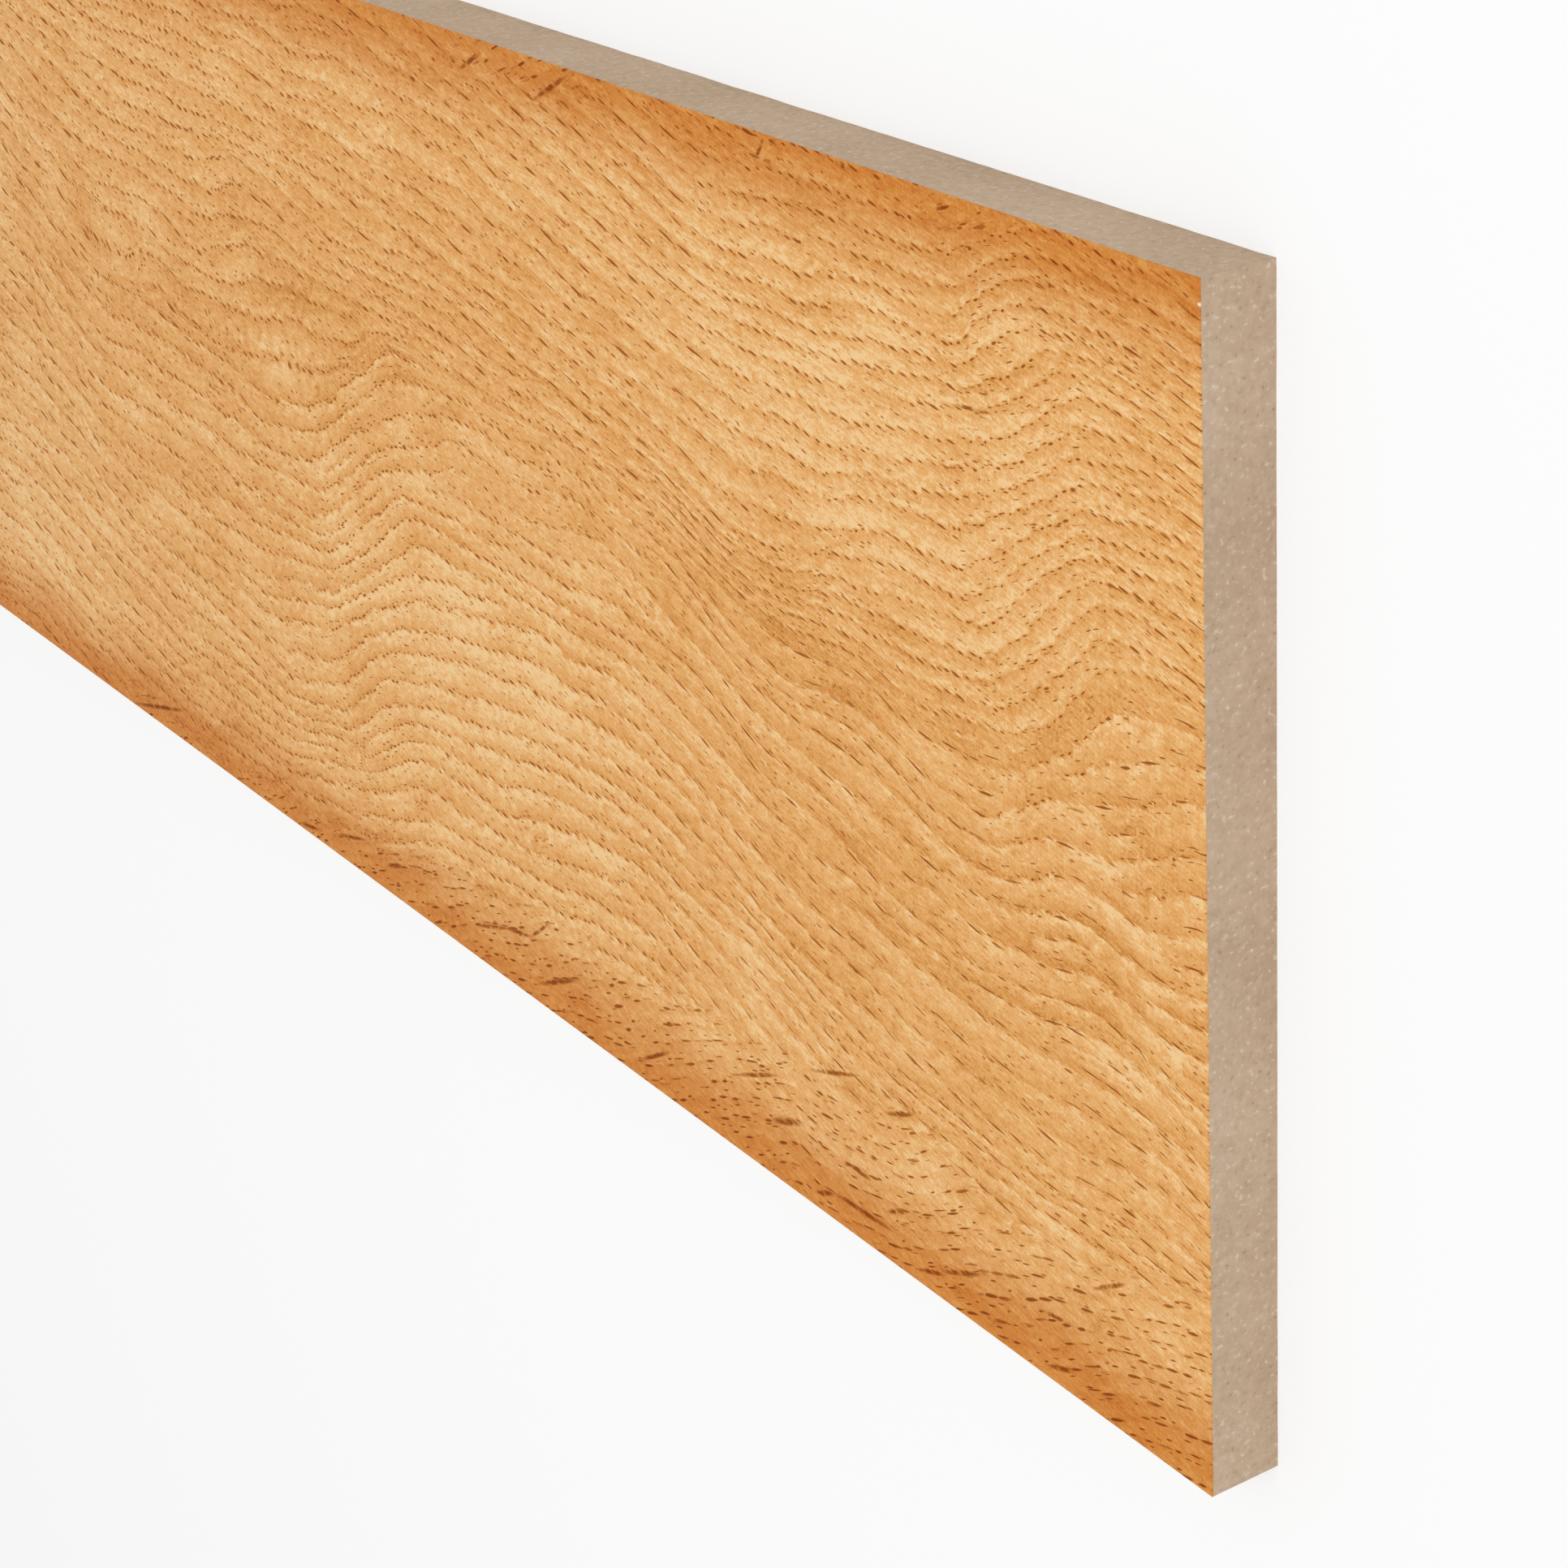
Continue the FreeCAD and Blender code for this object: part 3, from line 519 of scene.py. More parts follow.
# Strong single strokes of the print, pale scratches in its resin and a chip at the end, where bare paper
# shows: mm from the right-hand end and mm down from the top edge of both ends, and the half width.
STROKES = [
    (-198.6, 182.7, -185.1, 176.4, 0.5), (-222.3, 179.6, -210.5, 175.6, 0.4),
    (-210.5, 175.6, -201, 173.6, 0.4), (-201, 173.6, -193.8, 168.2, 0.35),
    (-162.2, 183.5, -152.7, 178, 0.4), (-282.5, 182, -271.4, 179.1, 0.4),
    (-260.3, 180.8, -254.8, 178.8, 0.5), (-302.3, 186.4, -292.8, 184.8, 0.4),
    (-385.9, 186.5, -360, 179.5, 0.5), (-127, 171.2, -116, 166.5, 0.4), (-102.5, 159.7, -91, 155.5, 0.4),
    (-81.5, 158.5, -74.5, 155.5, 0.45), (-117, 175.8, -109, 172.8, 0.6), (-94, 173.8, -88.5, 174, 0.5),
    (-83, 177.8, -78, 175.5, 0.4), (-98, 181.8, -84, 181.2, 0.5), (-105, 184.5, -100, 182.5, 0.45),
    (-75, 185, -68, 182.5, 0.4), (-67, 181.5, -57, 177, 0.45), (-41, 175.5, -34, 174.5, 0.35),
    (-39.5, 185, -33.5, 183, 0.4), (-27, 164.5, -20.5, 160.5, 0.4), (-103.5, 4.1, -101.3, 1.1, 0.35),
    (-195, 5.8, -188.3, 2.5, 0.4), (-170, 6.7, -160, 1.7, 0.45), (-54.2, 30.5, -46.6, 29.8, 0.3),
]
SCRATCHES = [(-266.7, 178.5, -246, 171.7, 0.25), (-52.5, 4.3, -47.7, 2.4, 0.25),
             (-47.7, 2.4, -43.3, 1.3, 0.2), (-108, 140, -105, 137, 0.2)]
CHIPS = [(-0.5, 3.4, 0.3, 3.6, 0.25)]
# Slow changes over the face, each a sum of seeded noises: strength, mm long, mm high, seed.
RING_SWAY = [(0.35, 36.0, 14.0, 1.0), (0.14, 14.0, 8.0, 2.0)]
FOOT_SWAY = [(4.0, 20.0, 10.0, 4.0)]
EDGE_RING_SWAY = [(0.5, 30.0, 14.0, 5.0)]
TONE_SWAY = [(0.4, 60.0, 14.0, 6.0), (0.3, 22.0, 6.0, 7.0)]
DEPTH_SWAY = [(0.75, 14.0, 5.0, 8.0), (0.35, 40.0, 15.0, 12.0)]
RAGGED_SWAY = [(2.5, 30.0, 8.0, 9.0), (2.0, 9.0, 6.0, 10.0)]
CLOUD_TONE, CLOUD_LONG, CLOUD_SEED = 1.5, 16.0, 13.0  # paler and darker clouds along the rings, mm long
USUAL_RING, LEAST_RING, WIDE_RING = 4.7, 0.8, 8.0  # mm between ring lines elsewhere
BEYOND = 20.0  # rings to a last line well outside the board on either side
LEAST_RINGS = 0.08  # in a mm, for the slope
ROWS_FROM, ROWS_TO = -312.0, -288.0  # mm from the end, where the single rows take over from the ring lines
ROW_CALM = 0.8  # how much of their sway the single rows lose
NEAR_FROM, NEAR_TO = -150.0, -130.0  # mm from the end, where the finer figure at the end begins
SIDE_CHANGE = 14.4, 14.6  # ring at which the shading goes over from below the rows to above them
LEAST_SLOPE, MOST_SLOPE, CREST_SLOPE, STEEP_CLIMB = -1.2, 0.8, 0.05, -0.4  # mm down for each mm to the right
# Slopes between which a climbing row, kind 0, turns level, kind 1, and a level row falling, kind 2.
TURNS, TURN_KINDS = [-0.26, -0.18, 0.08, 0.16], [0.0, 1.0, 1.0, 2.0]
USUAL_DEPTH, FAR_DEPTH = 0.55, 0.75  # of the shading beside the rows, and the share of it in the far part
MEAN_SWAY, LEAST_SWAY, MOST_SWAY = 0.95, 0.1, 1.5  # of that depth
PORE_WIDTH, ROW_FINER, NEAR_FINER = 0.38, 0.1, 0.05  # mm, half a pore's width, and how much finer nearer
FOOT_REACH = 2.3  # mm by which the bottom edge's burnish is broader

columns = round(film_size.x / MM / FILM_CELL_LONG) + 1
rows = round(film_size.y / MM / FILM_CELL_HIGH) + 1
from_end = np.linspace(-film_size.x / MM, 0.0, columns)
from_top = np.linspace(0.0, film_size.y / MM, rows)
walk = np.arange(WALK_FROM, WALK_TO, LINE_STEP)
drawn_at = np.where(walk < -DRAWN, -np.abs(DRAWN + (walk + DRAWN) * STRETCH), walk)
patch_at = np.interp(from_end, walk, drawn_at)


def sway(parts):
    """Adds up slow seeded noises at each mesh point."""
    total = np.zeros((columns, rows))
    for strength, length, height, seed in parts:
        total += strength * np.array([[noise.noise((x / length, y / height, seed)) for y in from_top]
                                      for x in from_end])
    return total


def ease(low, high, values):
    """Runs smoothly from 0 at the low value to 1 at the high one."""
    share = np.clip((values - low) / (high - low), 0.0, 1.0)
    return share * share * (3.0 - 2.0 * share)


def patches(places):
    """Adds up soft round patches at each mesh point."""
    total = np.zeros((columns, rows))
    for x, y, half_length, half_height, change in places:
        off = ((patch_at[:, None] - x) / half_length) ** 2 + ((from_top[None, :] - y) / half_height) ** 2
        total += change * np.exp(-off)
    return total


def ring_field(lines, blur):
    """Gives the ring number at each mesh point, and the height of the last line at each column."""
    offsets = np.arange(-BLUR_REACH * blur, BLUR_REACH * blur + LINE_STEP, LINE_STEP)
    kernel = np.exp(-0.5 * (offsets / blur) ** 2)
    numbers = np.array([number for number, _ in lines], float)
    heights = []
    for _, knots in lines:
        at, height = np.array(knots, float).T
        rounded = np.convolve(np.interp(drawn_at, at, height), kernel / kernel.sum(), "same")
        heights.append(np.interp(from_end, walk, rounded))
    heights = np.array(heights)
    apart = LEAST_RING * np.arange(len(heights))[:, None]
    heights = np.maximum.accumulate(heights - apart) + apart
    outside = BEYOND * USUAL_RING
    heights = np.vstack([heights[:1] - outside, heights, heights[-1:] + outside])
    numbers = np.concatenate([[numbers[0] - BEYOND], numbers, [numbers[-1] + BEYOND]])
    return np.array([np.interp(from_top, column, numbers) for column in heights.T]), heights[-2]


# The ring number at each mesh point, its slope, and the kind of row there.
far_rings, boundary = ring_field(RING_LINES, RING_BLUR)
row_rings, _ = ring_field(ROW_LINES, ROW_BLUR)
by_row = ease(ROWS_FROM, ROWS_TO, patch_at)[:, None]
near = ease(NEAR_FROM, NEAR_TO, patch_at)[:, None]
rings = far_rings * (1.0 - by_row) + row_rings * by_row
padded = np.pad(rings, ((0, 0), (1, 1)), mode="reflect", reflect_type="odd")
rings = 0.25 * padded[:, :-2] + 0.5 * padded[:, 1:-1] + 0.25 * padded[:, 2:]
rings += (1.0 - ROW_CALM * by_row) * sway(RING_SWAY)
ring_across, ring_down = np.gradient(rings, from_end, from_top)
ring_down = np.maximum(ring_down, LEAST_RINGS)
slope = np.clip(-ring_across / ring_down, LEAST_SLOPE, MOST_SLOPE)
loose = np.where(ring_down < 1.0 / WIDE_RING, 1.0, 1.0 - near)
dark_above = ease(*SIDE_CHANGE, rings)
crest = by_row * (1.0 - near) * dark_above
run_slope = np.minimum(slope, CREST_SLOPE * crest + MOST_SLOPE * (1.0 - crest))
pore_run = np.interp(run_slope, TURNS, TURN_KINDS)
pore_run = np.maximum(pore_run, TURN_KINDS[-1] * near * dark_above * (slope > STEEP_CLIMB))

# How deep the shading beside the rows is and to which side, and how pale the paper is.
side = 1.0 - 2.0 * dark_above
contrast = patches(DEPTH_PATCHES) + USUAL_DEPTH * (FAR_DEPTH + (1.0 - FAR_DEPTH) * by_row)
contrast *= np.clip(MEAN_SWAY + sway(DEPTH_SWAY), LEAST_SWAY, MOST_SWAY)
contrast *= np.abs(side)
clouds = [[noise.noise((x / CLOUD_LONG, ring, CLOUD_SEED)) for ring in column]
          for x, column in zip(from_end, rings)]
tone = patches(TONE_PATCHES) + sway(TONE_SWAY) + CLOUD_TONE * np.array(clouds)

# The grain along the long edges, where it lies, and how ragged the burnish there is.
below_line = from_top[None, :] - boundary[:, None]
strips = sum(np.exp(-((patch_at - x) / half_length) ** 4) for x, half_length in TOP_STRIPS)
at_top = np.clip((STRIP_HEIGHT - from_top[None, :]) / STRIP_FADE, 0.0, 1.0) * strips[:, None]
at_foot = ease(0.0, FOOT_FADE, below_line + sway(FOOT_SWAY)) * ease(FOOT_FROM, FOOT_TO, patch_at)[:, None]
edge_line = np.interp(patch_at, *np.array(EDGE_LINE, float).T)
edge_rings = (from_top[None, :] - edge_line[:, None]) / EDGE_RING + sway(EDGE_RING_SWAY)
edge_slope = np.gradient(edge_line, from_end)[:, None]
ragged = sway(RAGGED_SWAY) - FOOT_REACH * (from_top > HALF_HEIGHT)

points = np.zeros((columns, rows, 3))
points[..., 0] = film_high.x + from_end[:, None] * MM
points[..., 1] = film_high.y - from_top[None, :] * MM
points[..., 2] = film_high.z
index = np.arange(columns * rows).reshape(columns, rows)
quads = np.stack([index[:-1, :-1], index[:-1, 1:], index[1:, 1:], index[1:, :-1]], -1).reshape(-1, 4)
film_mesh = bpy.data.meshes.new("decor_film_pressed")
film_mesh.from_pydata(points.reshape(-1, 3).tolist(), [], quads.tolist())
figure = {
    "ring": rings, "ring_slope": slope, "ring_spacing": 1.0 / ring_down, "pore_run": pore_run, "loose": loose,
    "pore_width": PORE_WIDTH - ROW_FINER * by_row - NEAR_FINER * near, "edge_ring": edge_rings,
    "edge_slope": edge_slope, "edge_share": np.maximum(at_foot, at_top), "tone": tone, "contrast": contrast,
    "side": side, "ragged": ragged,
}
for name, values in figure.items():
    carried = film_mesh.attributes.new(name, "FLOAT", "POINT")
    carried.data.foreach_set("value", np.broadcast_to(values, rings.shape).astype(np.float32).ravel())
decor_film = bpy.data.objects.new("decor_film_pressed", film_mesh)
bpy.context.collection.objects.link(decor_film)
thickness = decor_film.modifiers.new("film thickness", "SOLIDIFY")
thickness.thickness = film_size.z
thickness.offset = -1.0

# Rows of pores: short dark dashes that sit in a row on each ring line. Each dash has a place in its own
# cell of the row, and leans by itself, so a row reads as stitches where the ring line turns away. A row
# comes in runs of about a centimetre, with thin places between them.
PLACE_SPREAD, LEAST_PLACE = 0.3, 0.35  # share of a cell at which a dash has its middle
LENGTH_SPREAD, LEAST_LENGTH = 0.7, 0.45  # share of the half length that is asked for
WIDTH_SPREAD, LEAST_WIDTH = 0.8, 0.6  # share of the half width that is asked for
DASH_EDGE = 1.8  # how sharply a dash ends
RUN_PULL = 1.6  # how much its run decides whether a dash is there
FULL_UNTIL, FAINTEST = 0.3, 0.25  # dashes fade past that share of the chances, down to this
pore_rows = bpy.data.node_groups.new("rows of pores", "ShaderNodeTree")
for name in ("Ring", "Along", "Slope", "Spacing", "Lean", "Pitch", "Length", "Width", "Shift", "Stray",
             "Keep", "Run", "Seed"):
    pore_rows.interface.new_socket(name=name, in_out="INPUT", socket_type="NodeSocketFloat")
for name in ("Ink", "Off"):
    pore_rows.interface.new_socket(name=name, in_out="OUTPUT", socket_type="NodeSocketFloat")
given = add_node(pore_rows, "NodeGroupInput").outputs
shifted = add_node(pore_rows, "ShaderNodeMath", given["Ring"], given["Shift"], operation="ADD")
row = add_node(pore_rows, "ShaderNodeMath", shifted, operation="ROUND")
off_row = add_node(pore_rows, "ShaderNodeMath", shifted, row, operation="SUBTRACT")
row_name = add_node(pore_rows, "ShaderNodeCombineXYZ", row, given["Seed"])
row_chance = add_node(pore_rows, "ShaderNodeTexWhiteNoise", row_name, noise_dimensions="3D")
in_row = add_node(pore_rows, "ShaderNodeMath", given["Along"], given["Pitch"], operation="DIVIDE")
in_row = add_node(pore_rows, "ShaderNodeMath", in_row, row_chance, operation="ADD")
cell = add_node(pore_rows, "ShaderNodeMath", in_row, operation="FLOOR")
cell_name = add_node(pore_rows, "ShaderNodeCombineXYZ", row, cell, given["Seed"])
chance = add_node(pore_rows, "ShaderNodeTexWhiteNoise", cell_name, noise_dimensions="3D")
chances = add_node(pore_rows, "ShaderNodeSeparateXYZ", chance.outputs["Color"]).outputs
middle = add_node(pore_rows, "ShaderNodeMath", chances["X"], PLACE_SPREAD, LEAST_PLACE,
                  operation="MULTIPLY_ADD")
in_cell = add_node(pore_rows, "ShaderNodeMath", in_row, cell, operation="SUBTRACT")
in_cell = add_node(pore_rows, "ShaderNodeMath", in_cell, middle, operation="SUBTRACT")
across = add_node(pore_rows, "ShaderNodeMath", in_cell, given["Pitch"], operation="MULTIPLY")
half_length = add_node(pore_rows, "ShaderNodeMath", chances["Y"], LENGTH_SPREAD, LEAST_LENGTH,
                       operation="MULTIPLY_ADD")
half_length = add_node(pore_rows, "ShaderNodeMath", half_length, given["Length"], operation="MULTIPLY")
half_width = add_node(pore_rows, "ShaderNodeMath", chances["Z"], WIDTH_SPREAD, LEAST_WIDTH,
                      operation="MULTIPLY_ADD")
half_width = add_node(pore_rows, "ShaderNodeMath", half_width, given["Width"], operation="MULTIPLY")
stray = add_node(pore_rows, "ShaderNodeMath", chances["Z"], 0.5, operation="SUBTRACT")
stray = add_node(pore_rows, "ShaderNodeMath", stray, given["Stray"], operation="MULTIPLY")
off_row = add_node(pore_rows, "ShaderNodeMath", off_row, stray, operation="SUBTRACT")
down = add_node(pore_rows, "ShaderNodeMath", off_row, given["Spacing"], operation="MULTIPLY")
turn = add_node(pore_rows, "ShaderNodeMath", given["Slope"], given["Lean"], operation="SUBTRACT")
off_dash = add_node(pore_rows, "ShaderNodeMath", across, turn, down, operation="MULTIPLY_ADD")
off_share = add_node(pore_rows, "ShaderNodeMath", off_dash, given["Spacing"], operation="DIVIDE")
off_dash = add_node(pore_rows, "ShaderNodeMath", off_dash, operation="ABSOLUTE")
reach = add_node(pore_rows, "ShaderNodeMath", across, half_length, operation="DIVIDE")
reach = add_node(pore_rows, "ShaderNodeMath", reach, reach, operation="MULTIPLY")
taper = add_node(pore_rows, "ShaderNodeMath", 1.0, reach, operation="SUBTRACT")
room = add_node(pore_rows, "ShaderNodeMath", half_width, taper, operation="MULTIPLY")
room = add_node(pore_rows, "ShaderNodeMath", room, off_dash, operation="SUBTRACT")
ink = add_node(pore_rows, "ShaderNodeMath", room, half_width, operation="DIVIDE")
ink = add_node(pore_rows, "ShaderNodeMath", ink, DASH_EDGE, operation="MULTIPLY", use_clamp=True)
run = add_node(pore_rows, "ShaderNodeMath", given["Run"], 0.5, operation="SUBTRACT")
paleness = add_node(pore_rows, "ShaderNodeMath", run, RUN_PULL, chance.outputs["Value"],
                    operation="MULTIPLY_ADD")
paleness = add_node(pore_rows, "ShaderNodeMath", paleness, given["Keep"], operation="DIVIDE")
strength = add_node(pore_rows, "ShaderNodeMapRange", paleness, FULL_UNTIL, 1.0, 1.0, FAINTEST)
kept = add_node(pore_rows, "ShaderNodeMath", paleness, 1.0, operation="LESS_THAN")
strength = add_node(pore_rows, "ShaderNodeMath", strength, kept, operation="MULTIPLY")
ink = add_node(pore_rows, "ShaderNodeMath", ink, strength, operation="MULTIPLY")
add_node(pore_rows, "NodeGroupOutput", ink, off_share)

# Resin-filled oak print, pressed with a satin plate: warm tan rings that fade from dark to pale, fine dark
# pores along them, and a burnished band along both long edges.
oak_print = bpy.data.materials.new("pressed oak print")
oak_print.use_nodes = True
tree = oak_print.node_tree
shader = tree.nodes["Principled BSDF"]
shader.inputs["Specular IOR Level"].default_value = 0.06
place = add_node(tree, "ShaderNodeTexCoord").outputs["Object"]
in_mm = add_node(tree, "ShaderNodeVectorMath", place, into={"Scale": 1 / MM}, operation="SCALE")
across_mm, up_mm, _ = add_node(tree, "ShaderNodeSeparateXYZ", in_mm).outputs
drawn = {name: add_node(tree, "ShaderNodeAttribute", attribute_name=name).outputs["Fac"] for name in figure}

# Where the drawn rings crowd or spread, every second one is left out or one is put between.
CROWDING_PULL = 0.75  # below 1, so that the rings change late
crowding = add_node(tree, "ShaderNodeMath", drawn["ring_spacing"], USUAL_RING, operation="DIVIDE")
crowding = add_node(tree, "ShaderNodeMath", crowding, 2.0, operation="LOGARITHM")
crowding = add_node(tree, "ShaderNodeMath", crowding, drawn["loose"], operation="MULTIPLY")
crowding = add_node(tree, "ShaderNodeMath", crowding, CROWDING_PULL, operation="MULTIPLY")
crowding = add_node(tree, "ShaderNodeMath", crowding, operation="ROUND")
crowding = add_node(tree, "ShaderNodeMath", 2.0, crowding, operation="POWER")
ring = add_node(tree, "ShaderNodeMath", drawn["ring"], crowding, operation="MULTIPLY")
spacing = add_node(tree, "ShaderNodeMath", drawn["ring_spacing"], crowding, operation="DIVIDE")

# Pores are short and close where the rings climb to the right, and long where they fall. Each value is the
# one on a level ring, and what a climbing ring and a falling ring add to it.
PORE_CHANGES = {
    "pitch": (3.0, -1.2, 2.6),  # mm between the pores of a row
    "share": (0.43, -0.06, 0.07),  # of the pitch that is half a pore's length
    "stray": (0.22, 0.0, 0.2),  # rings that a pore strays from its row
    "turn": (0.26, -0.16, 0.0),  # mm down that a stitch leans for each mm along
}
STITCH_FOLLOWS = 0.75  # share of the ring's slope that a stitch takes on
STROKE_TURN = 0.08  # lean of the long pores
HAIR_PITCH, HAIR_LENGTH, HAIR_FINER = 1.9, 0.85, 0.7  # mm, mm, and share of a pore's width
EDGE_FOLLOWS, EDGE_TURN = 0.8, -0.04  # share of the slope, and lean, of the pores along the edges
RUN_LENGTH, RUN_ROWS = 8.0, 2.3  # mm along a row, and how fast the runs change from row to row
climbs = add_node(tree, "ShaderNodeMath", drawn["pore_run"], 0.5, operation="LESS_THAN")
falls = add_node(tree, "ShaderNodeMath", drawn["pore_run"], 1.5, operation="GREATER_THAN")
pore = {}
for name, (level_value, climbing, falling) in PORE_CHANGES.items():
    pore[name] = add_node(tree, "ShaderNodeMath", climbs, climbing, level_value, operation="MULTIPLY_ADD")
    pore[name] = add_node(tree, "ShaderNodeMath", falls, falling, pore[name], operation="MULTIPLY_ADD")
pore_length = add_node(tree, "ShaderNodeMath", pore["pitch"], pore["share"], operation="MULTIPLY")
stitch_lean = add_node(tree, "ShaderNodeMath", drawn["ring_slope"], STITCH_FOLLOWS, pore["turn"],
                       operation="MULTIPLY_ADD")
stroke_lean = add_node(tree, "ShaderNodeMath", drawn["ring_slope"], STROKE_TURN, operation="ADD")
lean = add_node(tree, "ShaderNodeMix", into={"Factor": falls, "A": stitch_lean, "B": stroke_lean})
hair_width = add_node(tree, "ShaderNodeMath", drawn["pore_width"], HAIR_FINER, operation="MULTIPLY")
edge_lean = add_node(tree, "ShaderNodeMath", drawn["edge_slope"], EDGE_FOLLOWS, EDGE_TURN,
                     operation="MULTIPLY_ADD")
runs = {}
for name, rows_of_runs in (("ring", ring), ("edge_ring", drawn["edge_ring"])):
    run_at = add_node(tree, "ShaderNodeMath", rows_of_runs, RUN_ROWS * RUN_LENGTH, operation="MULTIPLY")
    run_at = add_node(tree, "ShaderNodeCombineXYZ", across_mm, run_at)
    runs[name] = add_node(tree, "ShaderNodeTexNoise", run_at, into={"Scale": 1 / RUN_LENGTH, "Detail": 1.0})
grain = {"Ring": ring, "Slope": drawn["ring_slope"], "Spacing": spacing, "Lean": lean, "Run": runs["ring"]}
edge_grain = {"Ring": drawn["edge_ring"], "Slope": drawn["edge_slope"], "Spacing": EDGE_RING,
              "Lean": edge_lean, "Run": runs["edge_ring"]}

# Each kind of pore: its grain, mm between pores, half length and half width in mm, rings beside the row,
# rings that it strays, share of the pores that are there, and seed. Hairs are fine pores between the rows.
PORE_KINDS = {
    "pores": (grain, pore["pitch"], pore_length, drawn["pore_width"], 0.0, pore["stray"], 1.0, 1.0),
    "hairs": (grain, HAIR_PITCH, HAIR_LENGTH, hair_width, 0.3, 0.9, 0.6, 2.0),
    "hairlines": (grain, HAIR_PITCH, HAIR_LENGTH, hair_width, 0.7, 0.9, 0.5, 3.0),
    "edge pores": (edge_grain, 3.6, 2.2, 0.32, 0.0, 0.4, 0.7, 5.0),
    "edge hairs": (edge_grain, 2.2, 1.2, 0.22, 0.45, 0.9, 0.6, 6.0),
}
inked = {}
for name, (lies_in, *sizes) in PORE_KINDS.items():
    asked = zip(("Pitch", "Length", "Width", "Shift", "Stray", "Keep", "Seed"), sizes)
    inked[name] = add_node(tree, "ShaderNodeGroup", node_tree=pore_rows, into={
        **lies_in, "Along": across_mm, **dict(asked)})

# The paper is darker to one side of a row of pores and pales towards the next row. Its
# fibres break up the line between the two.
FIBRE_LONG, FIBRE_WIDE, FIBRE_TURN = 2.6, 0.5, np.radians(13.0)  # mm; real ones are finer, but wouldn't show
TEAR = 0.35  # rings by which the fibres shift the line
RING_STEPS = [(0.0, 0.57), (0.12, 0.64), (0.28, 0.76), (0.39, 0.78), (0.46, 0.2), (0.58, 0.23), (0.7, 0.35),
              (0.84, 0.5), (1.0, 0.57)]  # from half a ring on one side of a row to half a ring on the other
EDGE_CALM = 0.5  # how much fainter the shading is along the edges
fibre_at = add_node(tree, "ShaderNodeVectorRotate", in_mm, into={"Angle": FIBRE_TURN}, rotation_type="Z_AXIS")
fibre_at = add_node(tree, "ShaderNodeVectorMath", fibre_at, (1 / FIBRE_LONG, 1 / FIBRE_WIDE, 0.0),
                    operation="MULTIPLY")
fibre = add_node(tree, "ShaderNodeTexNoise", fibre_at, into={"Scale": 1.0, "Detail": 2.0, "Roughness": 0.65})
nearest = add_node(tree, "ShaderNodeMath", ring, operation="ROUND")
off_ring = add_node(tree, "ShaderNodeMath", ring, nearest, operation="SUBTRACT")
off_line = add_node(tree, "ShaderNodeMix", into={
    "Factor": falls, "A": inked["pores"].outputs["Off"], "B": off_ring})
torn = add_node(tree, "ShaderNodeMath", fibre, 0.5, operation="SUBTRACT")
off_line = add_node(tree, "ShaderNodeMath", torn, TEAR, off_line, operation="MULTIPLY_ADD")
off_line = add_node(tree, "ShaderNodeMath", off_line, drawn["side"], operation="MULTIPLY")
off_line = add_node(tree, "ShaderNodeMix", into={
    "Factor": drawn["edge_share"], "A": off_line, "B": inked["edge pores"].outputs["Off"]})
beside_line = add_node(tree, "ShaderNodeMath", off_line, 0.5, operation="ADD")
ring_light = add_node(tree, "ShaderNodeValToRGB", beside_line)
steps = ring_light.color_ramp.elements
for step, (stop, grey) in zip(steps, (RING_STEPS[0], RING_STEPS[-1])):
    step.position, step.color = stop, (grey, grey, grey, 1.0)
for stop, grey in RING_STEPS[1:-1]:
    steps.new(stop).color = (grey, grey, grey, 1.0)
calm = add_node(tree, "ShaderNodeMath", drawn["edge_share"], -EDGE_CALM, 1.0, operation="MULTIPLY_ADD")
ring_depth = add_node(tree, "ShaderNodeMath", drawn["contrast"], calm, operation="MULTIPLY")

# Finer marks of the paper: a speckle, a comb across the rings where they climb, and tongues along them.
SPECKLE = 0.45  # mm; the real one is finer, and is drawn as coarse as it needs to show
COMB_WIDE, COMB_LONG = 0.7, 4.0  # mm
COMB_FROM, COMB_FULL = 0.05, -0.32  # slope of the rings
TONGUE_LONG, TONGUE_ROWS = 2.8, 9.0  # mm along a ring, and mm that count for one ring
speckle = add_node(tree, "ShaderNodeTexNoise", in_mm, into={"Scale": 1 / SPECKLE, "Detail": 1.0})
comb_at = add_node(tree, "ShaderNodeVectorMath", in_mm, (1 / COMB_WIDE, 1 / COMB_LONG, 0.0),
                   operation="MULTIPLY")
comb = add_node(tree, "ShaderNodeTexNoise", comb_at, into={"Scale": 1.0, "Detail": 1.0})
comb = add_node(tree, "ShaderNodeMath", comb, 0.5, operation="SUBTRACT")
rising = add_node(tree, "ShaderNodeMapRange", drawn["ring_slope"], COMB_FROM, COMB_FULL, 0.0, 1.0)
comb = add_node(tree, "ShaderNodeMath", comb, rising, operation="MULTIPLY")
tongue_at = add_node(tree, "ShaderNodeMath", ring, TONGUE_ROWS, operation="MULTIPLY")
tongue_at = add_node(tree, "ShaderNodeCombineXYZ", across_mm, tongue_at)
tongue = add_node(tree, "ShaderNodeTexNoise", tongue_at, into={"Scale": 1 / TONGUE_LONG, "Detail": 2.0})

